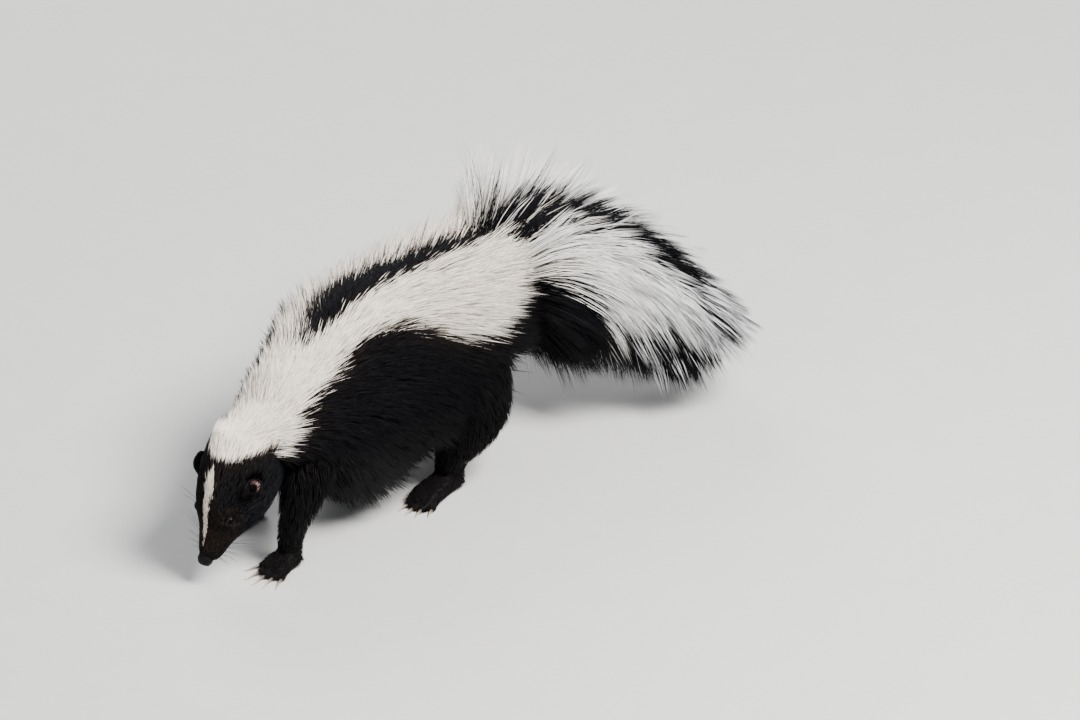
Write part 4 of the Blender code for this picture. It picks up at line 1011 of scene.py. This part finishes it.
def ear_fur(name, rings, rows, count):
    """Short black tufts on some rows of an ear's rings, from its foot to its rim, longest on its back
    and leaning over the opening at its front."""
    row, column = rng.choice(rows, count), rng.integers(0, rings.shape[1], count)
    middles = rings.mean(axis=1)
    root, normal = rings[row, column], unit(rings[row, column] - middles[row])
    near_rim = row / rows.max()
    on_back = 0.5 - 0.5 * np.cos(2 * np.pi * column / rings.shape[1])
    over = 0.1 + 1.0 * (1 - on_back) * near_rim
    flow = stands - over[:, None] * opens - 0.6 * (1 - near_rim)[:, None] * FORWARD
    flow = unit(flow + rng.normal(0, 0.12, (count, 3)))
    lengths = EAR_HAIR * (0.65 + 0.35 * on_back) * (1 - 0.45 * near_rim) * rng.uniform(0.7, 1.1, count)
    lifts = np.radians(16) * rng.uniform(0.6, 1.3, count)
    paths = tuft_paths(root, normal, flow, lengths, lifts, np.full(count, 0.05), 0.3, 2)
    chart = np.stack([0.01 + 0.97 * column / rings.shape[1], 0.01 + 0.97 * row / len(rings)], axis=-1)
    tone = rng.random((2, count))[1]
    all_black = np.full(count, False)
    coat_pieces(name, paths, normal, np.full(count, EAR_HAIR_WIDTH), chart, all_black, 0.2 + 0 * tone, tone)


for side, word in ((LEFT, "left"), (RIGHT, "right")):
    base, stands, opens, across = ear_axes(side)
    fine = spline(np.linspace(0, 1, len(EAR_PROFILE)), EAR_PROFILE)(np.linspace(0, 1, 48))
    level, widen, inside = fine.T[..., None]
    turn = turns(64)[None, :]
    half = EAR_WIDTH / 2 * widen - EAR_THICKNESS * np.clip(inside, 0, 1)
    height = EAR_HEIGHT * level * (0.52 + 0.48 * (0.5 + 0.5 * np.cos(turn - np.pi)))
    rings = base + height[..., None] * stands + (np.sin(turn) * half)[..., None] * across
    rings = rings + (np.cos(turn) * half * 0.44 - EAR_LEAN * height**2 / EAR_HEIGHT)[..., None] * opens
    # Pink only near the rim of one inner wall, where light falls; the depths and the other walls of the cup
    # are painted black as painted shade.
    lining = smooth(-0.15, 0.45, np.cos(turn + side * LIT_WALL_AT)) * smooth(0.6, 1.0, inside)
    lining = lining * smooth(0.70, 0.88, level)
    piece(f"ear_cup_{word}", *closed_rings(rings, inside_out=side == RIGHT), ear_finish, "ear_skin",
          f"ear_{word}", lining=np.append(lining.ravel(), [0, 0]))
    outer = np.flatnonzero((inside[:, 0] < 0.4) & (level[:, 0] > -0.25))
    ear_fur(f"fur_ear_{word}", rings, outer, EAR_TUFTS)
    cup = np.flatnonzero((inside[:, 0] > 0.9) & (level[:, 0] < 0.95))
    ear_fur(f"fur_ear_inside_{word}", rings, cup, INNER_TUFTS)

# Whiskers
# Stiff dark bristles in rows on each side of the muzzle, longer towards the back, with a few over
# each eye. Each tapers from a thick root to a fine curved end.
WHISKER_WIDTH, WHISKER_BENDS, WHISKERS_A_ROW = 0.00032, 7, 5
WHISKER_DROOP, WHISKER_FLOOR = 0.35, 0.001
bristles = []
for side in (LEFT, RIGHT):
    for row_angle in (78.0, 92.0, 106.0):
        behind, sweep, long = np.linspace((0.0085, 0.2, 0.012), (0.0185, 0.75, 0.026), WHISKERS_A_ROW).T
        root = head_surface(behind, -side * np.radians(row_angle) + 0 * behind, 0.0006)
        bristles.append(np.column_stack([
            root, -side * TO_LEFT - sweep[:, None] * FORWARD - 0.2 * UP, long]))
    brow = head_surface(np.array([0.0375, 0.0395]), -side * np.radians([36.0, 40.0]), 0.0008)
    brow_flow = np.tile(-side * 0.5 * TO_LEFT - 0.5 * FORWARD + 0.6 * CROWN, (2, 1))
    bristles.append(np.column_stack([brow, brow_flow, (0.014, 0.017)]))
root, flow, length = np.split(np.concatenate(bristles), [3, 6], axis=1)
length = length[:, 0] * rng.uniform(0.85, 1.1, len(root))
flow = unit(unit(flow) + rng.normal(0, 0.08, root.shape))
normal, none = unit(np.cross(flow, CROWN)), 0 * length
paths = tuft_paths(root, normal, flow, length, none, none + WHISKER_DROOP, 0.0, WHISKER_BENDS)
paths = off_floor(paths, WHISKER_FLOOR)
chart = np.stack([np.linspace(0.01, 0.97, len(root)), none + 0.5], axis=-1)
coat_pieces("whiskers", paths, normal, none + WHISKER_WIDTH, chart, none > 0, none + 0.3, none + 0.5)

# Claws
# Twenty curved horn claws, long on the fore paws for digging and short on the hind paws.
CLAW_THICK, CLAW_BURIED, CLAW_RISE, CLAW_FALL = 0.50, 0.22, 0.12, 0.36
CLAW_BASE, CLAW_TIP = (0.10, 0.075, 0.055), (0.52, 0.45, 0.35)
claw_finish, paint = material("claw_horn", 0.34, 0.5)
paint.wire(paint.mix(paint.field("tipward").between(0.0, 0.9), CLAW_BASE, CLAW_TIP),
           normal=paint.noise(2200).bump(0.2, 0.0002))
for word, foot in FEET.items():
    for index in range(5):
        start, direction, reach, half = toe_line(foot, index)
        _, paw, *_ = foot
        claw = paw["claw"]
        share = np.linspace(-CLAW_BURIED, 1, 16)[:, None]
        rise = half * 0.66 + claw * (CLAW_RISE * share - CLAW_FALL * share**2)
        path = start + direction * (reach + claw * share) + UP * rise
        path[:, 2] = np.maximum(path[:, 2], 0.0009 + 0.0006 * (1 - share[:, 0]))
        radius = half * CLAW_THICK * (1 - np.clip(share[:, 0], 0, 0.995)) ** 0.75
        rings = tube(path, radius, 0.8 * np.cross(UP, direction)[None], UP[None], turns(14))
        rings[..., 2] = np.maximum(rings[..., 2], 0.0004)
        tipward = np.append(np.broadcast_to(share, rings.shape[:2]).ravel(), [0, 1])
        piece(f"horn_{word}_{index + 1}", *closed_rings(rings), claw_finish, "claw_horn",
              f"claw_{word}_{index + 1}", tipward=tipward)

# Stage
# A plain pale floor, soft studio light, and the camera at the photograph's angle and framing.
PIXELS_A_METRE, FRAME_WIDE, FRAME_HIGH = 1500.0, 1080, 720
CAMERA_DISTANCE, SENSOR = 12.0, 36.0
AIM_PIXEL = (372.3, 479.0)
AZIMUTH, ELEVATION = np.radians(45.0), np.radians(30.0)
rightward = np.array([np.cos(AZIMUTH), -np.sin(AZIMUTH), 0.0])
ahead = np.array([np.sin(AZIMUTH), np.cos(AZIMUTH), 0.0])
upward = UP * np.cos(ELEVATION) + ahead * np.sin(ELEVATION)
backward = UP * np.sin(ELEVATION) - ahead * np.cos(ELEVATION)
to_right, to_top = FRAME_WIDE / 2 - AIM_PIXEL[0], AIM_PIXEL[1] - FRAME_HIGH / 2
aim = SHIFT + (rightward * to_right + upward * to_top) / PIXELS_A_METRE

floor = mesh_object("floor", [(-3, -3, 0), (3, -3, 0), (3, 3, 0), (-3, 3, 0)], [np.array([[0, 1, 2, 3]])])
floor_finish, paint = material("pale_floor", 0.8, 0.2)
paint.wire(paint.mix(paint.noise(30, 3), (0.56, 0.56, 0.55), (0.60, 0.60, 0.59)))
floor.data.materials.append(floor_finish)


def stand(name, data, location, way):
    """Puts a light or a camera in the scene, turned so that it looks against a direction."""
    made = bpy.data.objects.new(name, data)
    made.location, made.rotation_mode = location, "QUATERNION"
    made.rotation_quaternion = Vector(way).to_track_quat("Z", "Y")
    bpy.context.scene.collection.objects.link(made)
    return made


def area_light(name, towards, distance, size, power, colour=(1.0, 1.0, 1.0)):
    """A soft square light that looks at the animal from a direction."""
    data = bpy.data.lights.new(name, "AREA")
    data.size, data.energy, data.color = size, power, colour
    way = unit(np.array(towards, float))
    stand(name, data, SHIFT + way * distance, way)


area_light("key", (0.20, -0.85, 1.25), 2.0, 0.8, 115, (1.0, 0.98, 0.95))
area_light("fill", (-1.2, 0.0, 0.7), 2.2, 1.6, 20)
area_light("rim", (0.5, 1.2, 0.9), 2.2, 1.2, 36)
world = bpy.data.worlds.new("studio")
bpy.context.scene.world = world
world.use_nodes = True
world.node_tree.nodes["Background"].inputs["Color"].default_value = (0.86, 0.90, 1.0, 1.0)
world.node_tree.nodes["Background"].inputs["Strength"].default_value = 0.24

camera = bpy.data.cameras.new("camera")
camera.sensor_width, camera.lens = SENSOR, SENSOR * CAMERA_DISTANCE * PIXELS_A_METRE / FRAME_WIDE
camera.clip_start, camera.clip_end = 0.1, 100.0
bpy.context.scene.camera = stand("camera", camera, aim + backward * CAMERA_DISTANCE, backward)
